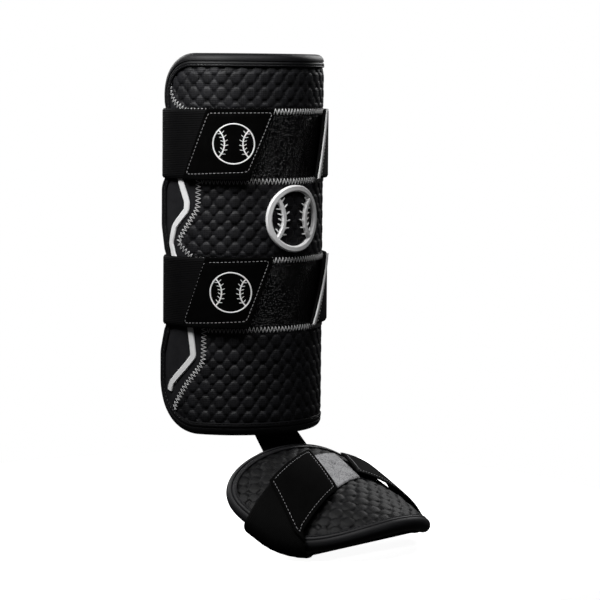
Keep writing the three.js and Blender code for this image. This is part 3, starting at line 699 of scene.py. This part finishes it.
def plain(name, colour, rough, grain, depth):
    """A smooth finish with a fine grain."""
    made, tree, shader = material(name)
    uv = pattern_of(tree)
    noise = node(tree, "ShaderNodeTexNoise", Vector=uv, Scale=per_mm(grain), Detail=3.0)
    ramp = node(tree, "ShaderNodeValToRGB", Fac=noise.outputs[0])
    ramp.color_ramp.elements[0].color = linear(colour[0])
    ramp.color_ramp.elements[1].color = linear(colour[1])
    tree.links.new(ramp.outputs["Color"], shader.inputs["Base Color"])
    shader.inputs["Roughness"].default_value = rough
    bump = node(tree, "ShaderNodeBump", Height=noise.outputs[0], Distance=depth * MM, Strength=1.0)
    tree.links.new(bump.outputs["Normal"], shader.inputs["Normal"])
    return made


# cloth(name, dark, light, roughness, sheen, gloss, weave, relief in mm)
# The scales: black knit with a faint net of holes and a soft sheen on each dome
SCALE_CLOTH = cloth("coated knit, embossed", "#010102", "#1e1e21", 0.54, 0.03, 0.25, knit(1.35), 0.18)
# The foot guard's cover: the same knit with painted shade, its colours and gloss darker than on the shin so
# that the foot reads darker under the same lamps
SHADED_FOOT_CLOTH = cloth("coated knit, embossed, foot, painted shade", "#010101", "#0b0b0d", 0.54, 0.02, 0.17, knit(1.35), 0.18)
# The wings: even charcoal, nearly without texture
WING_CLOTH = cloth("brushed charcoal jersey", "#1c1c1e", "#272729", 0.75, 0.03, 0.05, knit(0.8), 0.05)
# The bands behind the straps: shiny black pile that glints in spots, drawn coarse enough to show
LOOP_CLOTH = cloth("loop fabric, black", "#010101", "#040405", 0.2, 0.0, 0.3, fleece(1.3), 1.1)
# The foot guard's patch: pale grey pile, bright where it faces the light
GREY_LOOP = cloth("loop fabric, grey", "#060606", "#9a9a9c", 0.5, 0.1, 0.4, fleece(1.0), 0.5)
# The rolled edges: tight jersey with a soft highlight along the roll
BINDING_CLOTH = cloth("binding jersey, black", "#050506", "#101012", 0.5, 0.02, 0.22, ribs(0.9, 0), 0.03)
FOOT_BINDING_CLOTH = cloth("binding jersey, dark grey",
                           "#101011", "#202022", 0.5, 0.03, 0.2, ribs(0.9, 0), 0.03)
# The straps: dull black with faint lines along them
ELASTIC = cloth("woven elastic", "#050505", "#0c0c0d", 0.65, 0.0, 0.05, ribs(1.3, math.pi / 2), 0.14)
# Painted shade: the foot strap takes the same woven elastic with darker colours and less gloss
SHADED_FOOT_ELASTIC = cloth("woven elastic, foot, painted shade",
                     "#020202", "#060606", 0.65, 0.0, 0.03, ribs(1.3, math.pi / 2), 0.14)
# The tabs: the dullest black
TAB_CLOTH = cloth("hook tab backing", "#020202", "#060606", 0.7, 0.0, 0.02, knit(0.9), 0.06)
# The unseen inside: open mesh
LINING_CLOTH = cloth("lining mesh", "#0c0c0d", "#3a3a3e", 0.7, 0.06, 0.2, knit(2.2), 0.25)
# Stripes and balls: satin white
WHITE_PRINT = plain("moulded transfer, white", ("#f0f0f0", "#ffffff"), 0.4, 3, 0.03)
WHITE_TAPE = cloth("white woven tape", "#c4c4c4", "#ededed", 0.5, 0.1, 0.3, ribs(0.7, 0), 0.06)
# Threads: bright on the zigzags, greyer on the running stitches, black on the bindings
WHITE_THREAD = plain("polyester thread, white", ("#b4b4b4", "#dcdcdc"), 0.45, 0.6, 0.05)
GREY_THREAD = plain("polyester thread, grey", ("#848486", "#b0b0b2"), 0.5, 0.6, 0.05)
BLACK_THREAD = plain("polyester thread, black", ("#060607", "#141416"), 0.4, 0.6, 0.05)


# Shin guard: pad and cover

def scales(u, v, origin, across, up):
    """Embossed scales: a net of flat-topped domes with smaller ones in the gaps between them."""
    def domes(u0, v0, wide, tall, height):
        x = ((u - u0) / across - np.rint((u - u0) / across)) * across / wide
        y = ((v - v0) / up - np.rint((v - v0) / up)) * up / tall
        return height * np.sqrt(np.clip(1 - (x * x + y * y) ** 2, 0, 1))
    main = domes(origin[0], origin[1], across * 0.41, up * 0.405, SCALE_HIGH)
    between = domes(origin[0] + across / 2, origin[1] + up / 2, across * 0.34, up * 0.335, SCALE_LOW)
    return np.maximum(main, between)


def shin_scales(u, v):
    return scales(u, v, SHIN_SCALES, SCALE_ACROSS, SCALE_UP)


def foot_scales(b, back):
    return scales(b, back, FOOT_SCALES, SCALE_ACROSS * 1.12, SCALE_UP * 1.12)


def flat_band(u, v):
    return np.full(u.shape, SCALE_SINK * 0.7)


def dressed(face, relief, inside, reach):
    """The cover's outer side: its relief, which sinks to a seam along the edges."""
    return face - 0.8 * SCALE_SINK + (relief - 0.2 * SCALE_SINK) * edge_round(inside, reach)


def flat_area(low, high, width):
    """Area in square metres of a flat piece whose width is known at each height."""
    levels = np.linspace(low, high, 400)
    return float(np.trapz(width(levels), levels)) * MM * MM


def cover_panel(node_name, low, high, relief, look, slot, spacing):
    """A piece of the cover right across the front, sunk at its seams, with points a spacing apart."""
    widest = 2 * float(np.max(panel_half(np.linspace(low, high, 50))))

    def shape(s, t):
        v = low + (high - low) * t
        half = panel_half(v)
        u = half * (2 * s - 1)
        face = shin_cover(u, v)
        inside = np.minimum(half - np.abs(u), np.minimum(v - low, high - v))
        return u, v, face - SKIN, dressed(face, relief(u, v), inside, 4)

    piece = sheet_of(node_name + "_cloth", int(widest / spacing), int((high - low) / spacing), shape)
    place(piece, on_shin, look, [node_name])
    area = flat_area(low, high, lambda levels: 2 * panel_half(levels))


def make_pad():
    def shape(s, t):
        v = PAD_HALF_HEIGHT * np.sin((t - 0.5) * math.pi)
        u = shin_edge(v) * (2 * s - 1)
        away = distance_to(SHIN_OUTLINE, u, v)
        crown = 0.6 * np.sin(math.pi / 2 * np.clip(away / 25, 0, 1))
        return u, v, 0.6 - crown, pad_top(away, PAD_EDGE, PAD_THICKNESS)

    piece = sheet_of("shin_lining_pad", 90, 110, shape)
    place(piece, on_shin, LINING_CLOTH, ["shin_pad"])


def make_wing(node_name, side):
    def shape(s, t):
        v = WING_BOTTOM + (WING_TOP - WING_BOTTOM) * t
        inner = border_at(v)
        outer = shin_edge(v)
        out = inner + (outer - inner) * (s if side > 0 else 1 - s)
        inside = np.minimum(out - inner, outer - out)
        face = shin_cover(out, v)
        return side * out, v, face - SKIN, face - 0.6 + 0.6 * edge_round(inside, 3)

    piece = sheet_of(node_name + "_cloth", 34, 200, shape)
    place(piece, on_shin, WING_CLOTH, [node_name])
    area = flat_area(WING_BOTTOM, WING_TOP, lambda z: shin_edge(z) - border_at(z))


make_pad()
for panel, low, high in (
        ("upper_scale_panel", UPPER_BAND[1], PAD_HALF_HEIGHT),
        ("middle_scale_panel", LOWER_BAND[1], UPPER_BAND[0]),
        ("lower_scale_panel", -PAD_HALF_HEIGHT, LOWER_BAND[0])):
    cover_panel(panel, low, high, shin_scales, SCALE_CLOTH, "scale_cloth", 0.85)
cover_panel("upper_loop_band", *UPPER_BAND, flat_band, LOOP_CLOTH, "loop_cloth", 2)
cover_panel("lower_loop_band", *LOWER_BAND, flat_band, LOOP_CLOTH, "loop_cloth", 2)
make_wing("left_wing", -1)
make_wing("right_wing", 1)


# Bindings

# The flat lip on the cover, with a groove beside the roll and a dip where it is sewn: way in, and rise
BINDING_LIP = [
    (0.35, -0.75), (0.9, -0.1), (1.6, 0.15), (2.5, 0.0),
    (3.0, -0.35), (3.5, -0.05), (4.1, -0.35), (4.3, -1.2),
]
SEWN_IN = 3.0


def binding_section(radius, height, cover_in, thickness):
    """A round roll over the edge and the lip on the cover, as (out, height) corners."""
    turns = np.linspace(-math.pi / 2, math.pi / 2, 15)
    roll = [(radius * math.cos(turn), height + radius * math.sin(turn)) for turn in turns]
    over = [(-inward, float(cover_in(inward)) + thickness + rise) for inward, rise in BINDING_LIP]
    inside = float(cover_in(0)) - 1.6
    under = [(0.4, inside), (0.4, -0.5), (-4.2, -0.5), (-4.2, height - radius + 0.5)]
    return roll + over + under


def make_binding(node_name, outline, shell, section, look):
    line = outline(1.6)
    piece = swept(node_name + "_roll", line, section, True)
    place(piece, shell, look, [node_name], sharp=50)


def pressed(points):
    """The shin's shell, where the straps press the binding's roll in."""
    u, v, h = points.T
    reach = STRAP_WIDTH / 2
    near = np.minimum(np.abs(v - UPPER_STRAP), np.abs(v - LOWER_STRAP))
    share = np.clip((reach + 4 - near) / 4, 0, 1)
    past = np.maximum(np.abs(u) - shin_edge(np.clip(v, -PAD_HALF_HEIGHT, PAD_HALF_HEIGHT)), 0)
    keep = 1 - share * STRAP_PRESS / NOSE_RADIUS
    return on_shin(np.column_stack((u - np.sign(u) * past * (1 - keep), v, h)))


SHIN_SECTION = binding_section(NOSE_RADIUS, NOSE_HEIGHT, shin_cover_in, BINDING)
FOOT_SECTION = binding_section(FOOT_NOSE_RADIUS, FOOT_NOSE_HEIGHT, foot_cover_in, FOOT_BINDING)
make_binding("shin_binding", shin_outline, pressed, SHIN_SECTION, BINDING_CLOTH)


# White pieces: stripes on the wings, a plain ball in front and small ones on the tabs

STRIPE_WIDTH = 4.7
EMBLEM_RADIUS = 22.4
EMBLEM = np.array((0.0, 19.5))
TAB_BALL_RADIUS = 14.5
FULL_FACE = PAD_THICKNESS + ROOM + SKIN


def bevelled(width, low, high, bevel):
    """A flat bar's section with its upper edges bevelled."""
    half = width / 2
    left = [(-half, low), (-half, high - bevel), (-half + bevel, high)]
    return left + [(-out, rise) for out, rise in reversed(left)]


def make_stripe(node_name, side):
    across = side * STRIPE_LINE[:, 1] * SHIN_HALF_WIDTH
    line = rounded(evenly(np.column_stack((across, STRIPE_LINE[:, 0] * PAD_HALF_HEIGHT)), 1.2), 2)
    piece = swept(node_name + "_print", line, bevelled(STRIPE_WIDTH, 0.1, 1.3, 0.5), False, shin_cover)
    place(piece, on_shin, WHITE_PRINT, [node_name])


def ball_lines(radius, centre):
    """A ball's outline and its two seams, as lines of the pattern."""
    offset = radius * 1.378
    seam = radius * 0.933
    meet = (offset ** 2 + radius ** 2 - seam ** 2) / (2 * offset)
    half = math.acos((offset - meet) / seam) * 0.99
    round_turn = np.linspace(0, 2 * math.pi, 97)[:-1]
    ring = np.column_stack((radius * np.cos(round_turn), radius * np.sin(round_turn))) + centre
    arc = np.linspace(-half, half, 33)
    right = np.column_stack((offset - seam * np.cos(arc), seam * np.sin(arc)))
    return ring, right + centre, right * (-1, 1) + centre


def make_ball(name, radius, centre, ring_section, seam_section):
    ring, right, left = ball_lines(radius, centre)
    return joined(name, [
        swept("ring", ring, ring_section, True),
        swept("right_seam", right, seam_section, False),
        swept("left_seam", left, seam_section, False),
    ])


def seam_ticks(radius, centre, reach, pitch, height):
    """Starts and ends of the slanted stitches of a ball's seams."""
    _, right, left = ball_lines(radius, centre)
    starts = []
    ends = []
    for line, side in ((right, 1), (left, -1)):
        points = evenly(line, pitch)[1:-1]
        way = ways(points)
        out = np.column_stack((way[:, 1], -way[:, 0])) * side
        for hand in (1, -1):
            tip = points + hand * reach * out + 0.45 * reach * way
            starts.append(np.column_stack((points, np.full(len(points), height))))
            ends.append(np.column_stack((tip, np.full(len(points), height))))
    return np.vstack(starts), np.vstack(ends)


def make_emblem():
    ball = make_ball("front_emblem_print", EMBLEM_RADIUS, EMBLEM,
                     bevelled(4.6, FULL_FACE + 0.2, FULL_FACE + 2.7, 0.9),
                     bevelled(3.6, FULL_FACE + 0.2, FULL_FACE + 2.5, 0.8))
    place(ball, on_shin, WHITE_PRINT, ["front_emblem"])
    ticks = seam_ticks(EMBLEM_RADIUS, EMBLEM, 5.2, 4.6, FULL_FACE + 1.2)
    ticks = sewn("front_emblem_stitches", *ticks, 0.62, 0.4)
    place(ticks, on_shin, WHITE_PRINT)


make_stripe("left_stripe", -1)
make_stripe("right_stripe", 1)
make_emblem()


# Straps, tabs and trims of the shin guard

# Running stitches: length and gap
TAB_STITCH = (1.7, 1.1)
TRIM_STITCH = (1.6, 1.0)
ROOT_STITCH = (1.5, 1.0)
BINDING_STITCH = (2.0, 0.9)
ZIGZAG = (4.6, 2.9)  # width and pitch


def slanted(t, ends):
    """Where a slanted end lies, from the strap's bottom edge at t = 0 to its top edge at 1."""
    return ends[0] + (ends[1] - ends[0]) * t


def make_strap(node_name, height, root):
    widest = max(float(shin_edge(height + step * STRAP_WIDTH / 2)) for step in (-1, 0, 1))
    shell, around = strap_shell((widest - STRAP_PRESS) / FACE_RADIUS)

    def shape(s, t):
        up = (t - 0.5) * STRAP_WIDTH
        start = slanted(t, root)
        end = around + slanted(t, STRAP_END)
        run = start + (end - start) * s
        half = STRAP_THICKNESS / 2 * (0.2 + 0.8 * edge_round(STRAP_WIDTH / 2 - np.abs(up), 1.2))
        return run, height + up, -half, half

    place(sheet_of(node_name + "_elastic", 300, 34, shape), shell, ELASTIC, [node_name])


def make_hook_tab(node_name, height, corners, mark_turn):
    """A tab that thins out on its left, with a dip along its sewn line, and a small ball on it."""
    seam = np.array([(math.radians(turn) * STRAP_RADIUS, z) for turn, z in corners])
    seam = rounded(evenly(seam, 1.2, closed=True), 3, closed=True)
    half = STRAP_WIDTH / 2 + TAB_OVERHANG

    def thickness(u, v):
        left = slanted((v - height) / STRAP_WIDTH + 0.5, STRAP_END) - TAB_LENGTH
        return TAB_THICKNESS * np.clip((u - left) / 10, 0.1, 1)

    def shape(s, t):
        up = (2 * t - 1) * half
        right = slanted(t, STRAP_END) + TAB_OVERHANG
        corner = 2 - np.sqrt(np.maximum(4 - np.maximum(2 - (half - np.abs(up)), 0) ** 2, 0))
        left = right - TAB_LENGTH
        right = right - corner
        u = left + (right - left) * s
        v = height + up
        inside = np.minimum(np.minimum(u - left, right - u), half - np.abs(up))
        dip = 0.45 * np.exp(-(distance_to(seam, u, v) / 0.9) ** 2)
        return u, v, 0 * u, np.maximum(thickness(u, v) * edge_round(inside, 0.9) - dip, 0.05)

    place(sheet_of(node_name + "_cloth", 70, 70, shape), on_strap, TAB_CLOTH, [node_name])
    stitches = dashes(seam, *TAB_STITCH, lambda u, v: thickness(u, v) - 0.2, closed=True)
    place(sewn(node_name + "_stitches", *stitches, 0.24, 0.3), on_strap, GREY_THREAD)
    centre = np.array((math.radians(mark_turn) * STRAP_RADIUS, height + 0.5))
    line = bevelled(1.0, TAB_THICKNESS - 0.2, TAB_THICKNESS + 0.35, 0.25)
    ball = make_ball(node_name + "_ball", TAB_BALL_RADIUS, centre, line, line)
    place(ball, on_strap, WHITE_PRINT)
    ticks = seam_ticks(TAB_BALL_RADIUS, centre, 2.6, 2.9, TAB_THICKNESS + 0.15)
    ticks = sewn(node_name + "_ball_seams", *ticks, 0.26, 0.2)
    place(ticks, on_strap, WHITE_PRINT)


def make_trim(node_name, height, root):
    """White tape over the strap's slanted root, and the running stitches beside it."""
    def shape(s, t):
        left = slanted(t, root)
        inside = np.minimum(s, 1 - s) * TRIM_WIDTH
        top = 0.3 + 0.7 * edge_round(inside, 0.8)
        return left + s * TRIM_WIDTH, height + (t - 0.5) * STRAP_WIDTH, 0 * s, top

    place(sheet_of(node_name + "_tape", 8, 40, shape), on_strap, WHITE_TAPE, [node_name])
    up = np.linspace(0.03, 0.97, 20)
    for beyond in (2.2, 4.6):
        across = slanted(up, root) + TRIM_WIDTH + beyond
        line = np.column_stack((across, height + (up - 0.5) * STRAP_WIDTH))
        stitches = dashes(line, *TRIM_STITCH, lambda u, v: np.full(u.shape, 0.15 - ROOM))
        piece = sewn(f"{node_name}_stitches_{round(beyond)}", *stitches, 0.26, 0.3)
        place(piece, on_strap, WHITE_THREAD)


make_strap("upper_strap", UPPER_STRAP, UPPER_ROOT)
make_strap("lower_strap", LOWER_STRAP, LOWER_ROOT)
make_hook_tab("upper_hook_tab", UPPER_STRAP, UPPER_SEWN, -42.3)
make_hook_tab("lower_hook_tab", LOWER_STRAP, LOWER_SEWN, -43.5)
make_trim("upper_strap_trim", UPPER_STRAP, UPPER_ROOT)
make_trim("lower_strap_trim", LOWER_STRAP, LOWER_ROOT)


# Seams of the shin guard

def above_cover(u, z):
    return shin_cover(u, z) + 0.25


def make_zigzags():
    levels = np.linspace(WING_BOTTOM, WING_TOP, 300)
    runs = []
    for side in (-1, 1):
        border = rounded(evenly(np.column_stack((side * border_at(levels), levels)), 1.5), 4)
        runs.append(zigzag(border, *ZIGZAG, above_cover))
    for z in BAND_SEAMS:
        half = float(panel_half(z)) - 2
        seam = np.column_stack((np.linspace(-half, half, 60), np.full(60, z)))
        runs.append(zigzag(seam, *ZIGZAG, above_cover))
    place(sewn("zigzag_seams", *several(runs), 0.28, 0.5), on_shin, WHITE_THREAD)


def make_binding_stitches(name, outline, shell, cover_in, thickness, look):
    line = beside(outline(2.0), -SEWN_IN, closed=True)
    height = float(cover_in(SEWN_IN)) + thickness - 0.15
    stitches = dashes(line, *BINDING_STITCH, lambda u, v: np.full(u.shape, height), closed=True)
    place(sewn(name, *stitches, 0.22, 0.3), shell, look)


make_zigzags()
make_binding_stitches("shin_binding_stitches", shin_outline, on_shin, shin_cover_in, BINDING, BLACK_THREAD)


# Foot guard

def make_foot_layer(name, node_name, columns, rows, heights, look):
    """A layer of the foot guard out to its outline, with heights(b, back, inside) for its two faces."""
    def shape(s, t):
        b = FOOT_HALF_WIDTH * np.sin((2 * s - 1) * math.pi / 2)
        back = toe_line(b) + (ankle_line(b) - toe_line(b)) * t
        under, over = heights(b, back, distance_to(FOOT_OUTLINE, b, back))
        return b, back, under, over

    return place(sheet_of(name, columns, rows, shape), on_foot, look, [node_name])


def make_foot():
    def pad_faces(b, back, inside):
        return 0.4 - 0.4 * edge_round(inside, 20), pad_top(inside, FOOT_EDGE, FOOT_PAD)

    def cover_faces(b, back, inside):
        face = foot_cover_in(inside)
        return face - SKIN, dressed(face, foot_scales(b, back), inside, 4)

    pad = make_foot_layer("foot_lining_pad", "foot_pad", 60, 50, pad_faces, LINING_CLOTH)
    cover = make_foot_layer("foot_scale_cloth", "foot_scale_panel", 190, 140, cover_faces,
                            SHADED_FOOT_CLOTH)
    make_binding("foot_binding", foot_outline, on_foot, FOOT_SECTION,
                 FOOT_BINDING_CLOTH)
    make_binding_stitches("foot_binding_stitches", foot_outline, on_foot, foot_cover_in, FOOT_BINDING,
                          BLACK_THREAD)


def foot_strap_at(b):
    """How far along the dome the strap's middle lies, at b across."""
    b = np.asarray(b, float)
    return np.where(b < 0, FOOT_STRAP_ALONG - FOOT_LEFT_SLANT * b, FOOT_ROOT_ALONG + FOOT_RIGHT_SLANT * b)


def foot_edge(a):
    """The dome's edge at a along it: its half width, and the way out from the edge."""
    into_toe = max(a - (FOOT_LENGTH - TOE_DEPTH), 0) / TOE_DEPTH
    across = FOOT_HALF_WIDTH * math.sqrt(1 - into_toe ** 2)
    outward = np.array((across / FOOT_HALF_WIDTH ** 2, into_toe / TOE_DEPTH))
    return across, outward / np.linalg.norm(outward)


def foot_strap_turn(side, w):
    """Points round the dome's edge, from over it to under it."""
    a = float(foot_strap_at(side * FOOT_HALF_WIDTH)) + w
    across, outward = foot_edge(a)
    turn = np.radians(np.linspace(75, -65, 15))
    ease = FOOT_BEND_EASE * (1 - np.maximum(np.sin(turn), 0)) if side < 0 else 0
    radius = FOOT_TURN + ease
    reach = radius * np.cos(turn)
    b = side * (across + outward[0] * reach)
    back = -(a + outward[1] * reach)
    return on_foot(np.column_stack((b, back, FOOT_NOSE_HEIGHT + radius * np.sin(turn))))


def foot_strap_line(w, end_across):
    """The strap's line at w across it, from its root on the right, under the sole and up to its end."""
    root = FOOT_STRAP_ROOT + FOOT_END_SLANT * w
    end = end_across + FOOT_END_SLANT * w
    right_edge = foot_edge(float(foot_strap_at(FOOT_HALF_WIDTH)) + w)[0] - BINDING_COVER
    left_edge = foot_edge(float(foot_strap_at(-FOOT_HALF_WIDTH)) + w)[0] - BINDING_COVER
    share = np.linspace(0, 1, 24)[:-1]
    b = root + (right_edge - root) * share
    over = FOOT_STRAP_OVER + FOOT_STRAP_SLACK * (0.5 - w / FOOT_STRAP_WIDTH) * np.sin(math.pi * share)
    right = on_foot(np.column_stack((b, -(foot_strap_at(b) + w), over)))
    down = foot_strap_turn(1, w)
    up = foot_strap_turn(-1, w)[::-1]
    share = np.linspace(0, 1, 26)[1:-1, None]
    under = down[-1] * (1 - share) + up[0] * share
    b = np.linspace(-left_edge, end, 30)
    left = on_foot(np.column_stack((b, -(foot_strap_at(b) + w), np.full(30, FOOT_STRAP_OVER))))
    return np.vstack((right, down, under, up, left))


def last_stretch(line, length):
    """The end of a line, over a given length."""
    steps = np.linalg.norm(np.diff(line, axis=0), axis=1)
    run = np.concatenate(([0], np.cumsum(steps)))
    at = np.linspace(run[-1] - length, run[-1], 120)
    return np.column_stack([np.interp(at, run, column) for column in line.T])


def ribbon(name, node_name, lines, width, columns, rows, thickness, lift, look, dip=None):
    """A band of cloth along its lines, with rounded long edges."""
    shell, length = ribbon_shell(lines, width)

    def shape(s, t):
        across = (s - 0.5) * width
        run = length * t
        inside = np.minimum(width / 2 - np.abs(across), np.minimum(run, length - run))
        half = thickness / 2 * (0.2 + 0.8 * edge_round(inside, 0.9))
        sunk = dip(across, run, length) if dip else 0
        return across, run, lift - half, lift + half - sunk

    place(sheet_of(name, columns, rows, shape), shell, look, [node_name])
    return shell, length


def make_foot_strap():
    width = FOOT_STRAP_WIDTH
    lines = [foot_strap_line(w, FOOT_STRAP_END) for w in np.linspace(-width / 2, width / 2, 9)]
    shell, length = ribbon("foot_strap_elastic", "foot_strap", lines, width, 30, 300,
                           FOOT_STRAP_THICKNESS, 0, SHADED_FOOT_ELASTIC)
    top = FOOT_STRAP_THICKNESS / 2 + 0.1
    inset = width / 2 - 2.5
    root = np.column_stack((np.linspace(-inset, inset, 20), np.full(20, 3.2)))
    hem = np.column_stack((np.full(20, inset), np.linspace(3.2, 40, 20)))
    runs = [dashes(line, *ROOT_STITCH, lambda u, v: np.full(u.shape, top)) for line in (root, hem)]
    place(sewn("foot_strap_stitches", *several(runs), 0.25, 0.3), shell, GREY_THREAD)


def make_foot_tab():
    width = FOOT_STRAP_WIDTH + 2 * TAB_OVERHANG
    end = FOOT_STRAP_END + TAB_OVERHANG
    lines = [last_stretch(foot_strap_line(w, end), FOOT_TAB_LENGTH)
             for w in np.linspace(-width / 2, width / 2, 9)]
    lift = (FOOT_STRAP_THICKNESS + TAB_THICKNESS) / 2 + ROOM
    inset = 3.2

    def sewn_line(length):
        across = width / 2 - inset
        far = length - inset
        return np.array(((-across, inset), (across, inset), (across, far), (-across, far)))

    def dip(across, run, length):
        return 0.4 * np.exp(-(distance_to(sewn_line(length), across, run) / 0.9) ** 2)

    shell, length = ribbon("foot_hook_tab_cloth", "foot_hook_tab", lines, width, 56, 60, TAB_THICKNESS, lift,
                           TAB_CLOTH, dip)
    top = lift + TAB_THICKNESS / 2 - 0.15
    stitches = dashes(sewn_line(length), *TAB_STITCH, lambda u, v: np.full(u.shape, top), closed=True)
    place(sewn("foot_hook_tab_stitches", *stitches, 0.26, 0.3), shell, GREY_THREAD)


def make_loop_patch():
    width = FOOT_STRAP_WIDTH - PATCH_INSET
    left = FOOT_STRAP_END - PATCH_HIDDEN
    right = FOOT_STRAP_END + PATCH_REACH

    def shape(s, t):
        w = (0.5 - t) * width
        b = left + (right - left) * s + FOOT_END_SLANT * w
        a = FOOT_STRAP_ALONG - FOOT_LEFT_SLANT * np.minimum(b, 0) - PATCH_BEND * np.maximum(b, 0) + w
        low = foot_cover(b, -a) + ROOM
        inside = np.minimum(np.minimum(t, 1 - t) * width, np.minimum(s, 1 - s) * (right - left))
        return b, -a, low, low + PATCH_THICKNESS * (0.2 + 0.8 * edge_round(inside, 1.2))

    piece = sheet_of("foot_loop_patch_cloth", 60, 40, shape)
    place(piece, on_foot, GREY_LOOP, ["foot_loop_patch"])


def make_link():
    """The band that is sewn inside the shin guard and under the dome's ankle edge."""
    half = LINK_THICKNESS / 2
    bottom = -PAD_HALF_HEIGHT
    seat = -ROOM - half
    clear = seat - 0.3 - BINDING
    around = FOOT_NOSE_RADIUS + ROOM + half
    corner = around * math.sqrt(0.5)
    under_nose = FOOT_NOSE_HEIGHT - around
    on_pad = [
        (bottom + LINK_INSIDE, seat),
        (bottom + BINDING_COVER + LINK_SLOPE, seat),
        (bottom + BINDING_COVER, clear),
        (bottom - NOSE_RADIUS, clear),
    ]
    on_dome = [
        (around, FOOT_NOSE_HEIGHT),
        (corner, FOOT_NOSE_HEIGHT - corner),
        (0, under_nose),
        (-BINDING_COVER, under_nose),
        (-BINDING_COVER - LINK_SLOPE, seat),
        (-LINK_UNDER, seat),
    ]
    lines = []
    for u in np.linspace(LINK_WIDTH / 2, -LINK_WIDTH / 2, 7):
        shin = on_shin(np.array([(u + LINK_START, z, h) for z, h in on_pad]))
        foot = on_foot(np.array([(u + LINK_LEAN, back, h) for back, h in on_dome]))
        lines.append(np.vstack((shin, foot)))
    ribbon("ankle_link_elastic", "ankle_link", lines, LINK_WIDTH, 30, 90, LINK_THICKNESS, 0,
           ELASTIC)


make_foot()
make_foot_strap()
make_foot_tab()
make_loop_patch()
make_link()


# Light, floor and camera

def make_floor():
    """A pale disc that runs into the white behind it, and throws no light up at the guard."""
    bpy.ops.object.select_all(action="DESELECT")
    below = (0, 0, cad_box[0][2] - 0.002)
    bpy.ops.mesh.primitive_circle_add(vertices=96, radius=0.34, fill_type="NGON", location=below)
    floor = bpy.context.object
    floor.name = "floor"
    made, tree, shader = material("pale floor")
    shader.inputs["Base Color"].default_value = linear("#f4f4f4")
    shader.inputs["Roughness"].default_value = 0.9
    shader.inputs["Emission Color"].default_value = linear("#ffffff")
    shader.inputs["Emission Strength"].default_value = 0.95
    floor.data.materials.append(made)
    floor.visible_diffuse = False
    floor.visible_glossy = False


LIT_POINT = Vector((0, -0.02, -0.03))


def make_light(name, azimuth, height, distance, size, power):
    """A soft box that faces the guard, in metres and watts, and in degrees to the right of the front."""
    turn = math.radians(azimuth)
    at = Vector((math.sin(turn) * distance, -math.cos(turn) * distance, height))
    lamp = bpy.data.lights.new(name, "AREA")
    lamp.shape = "RECTANGLE"
    lamp.size = size[0]
    lamp.size_y = size[1]
    lamp.energy = power
    thing = bpy.data.objects.new(name, lamp)
    bpy.context.scene.collection.objects.link(thing)
    thing.location = at
    thing.rotation_euler = (LIT_POINT - at).to_track_quat("-Z", "Y").to_euler()


def make_world():
    """White behind the guard, and a dim grey room for its reflections."""
    world = bpy.data.worlds.new("studio")
    bpy.context.scene.world = world
    world.use_nodes = True
    tree = world.node_tree
    room = tree.nodes["Background"]
    room.inputs["Color"].default_value = (1, 1, 1, 1)
    room.inputs["Strength"].default_value = 0.02
    backdrop = node(tree, "ShaderNodeBackground", Color=(1, 1, 1, 1), Strength=1.0)
    seen = node(tree, "ShaderNodeLightPath").outputs["Is Camera Ray"]
    mixed = node(tree, "ShaderNodeMixShader", Fac=seen)
    tree.links.new(room.outputs[0], mixed.inputs[1])
    tree.links.new(backdrop.outputs[0], mixed.inputs[2])
    tree.links.new(mixed.outputs[0], tree.nodes["World Output"].inputs["Surface"])


make_floor()
make_light("key", -80, 0.5, 0.42, (0.25, 0.25), 4.6)
make_light("front", -12, 0.62, 0.38, (0.3, 0.3), 1.9)
make_light("rim", 105, 0.55, 1.0, (0.3, 0.4), 4)
make_light("back", 178, 0.5, 0.9, (0.6, 0.5), 7)
make_world()

right = Vector((math.cos(CAMERA_AZIMUTH), -math.sin(CAMERA_AZIMUTH), 0))
back = Vector((-math.sin(CAMERA_AZIMUTH), -math.cos(CAMERA_AZIMUTH), 0))
seat = back * CAMERA_DISTANCE + Vector((0, 0, CAMERA_HEIGHT))
aim = right * AIM_RIGHT + Vector((0, 0, AIM_HEIGHT))
lens = bpy.data.cameras.new("camera")
lens.lens = CAMERA_LENS
lens.sensor_width = 36
lens.clip_end = 50
camera = bpy.data.objects.new("camera", lens)
bpy.context.scene.collection.objects.link(camera)
turned = (aim - seat).to_track_quat("-Z", "Y").to_matrix().to_4x4()
camera.matrix_world = Matrix.Translation(seat) @ turned @ Matrix.Rotation(CAMERA_ROLL, 4, "Z")
bpy.context.scene.camera = camera
bpy.context.scene.view_settings.view_transform = "Standard"
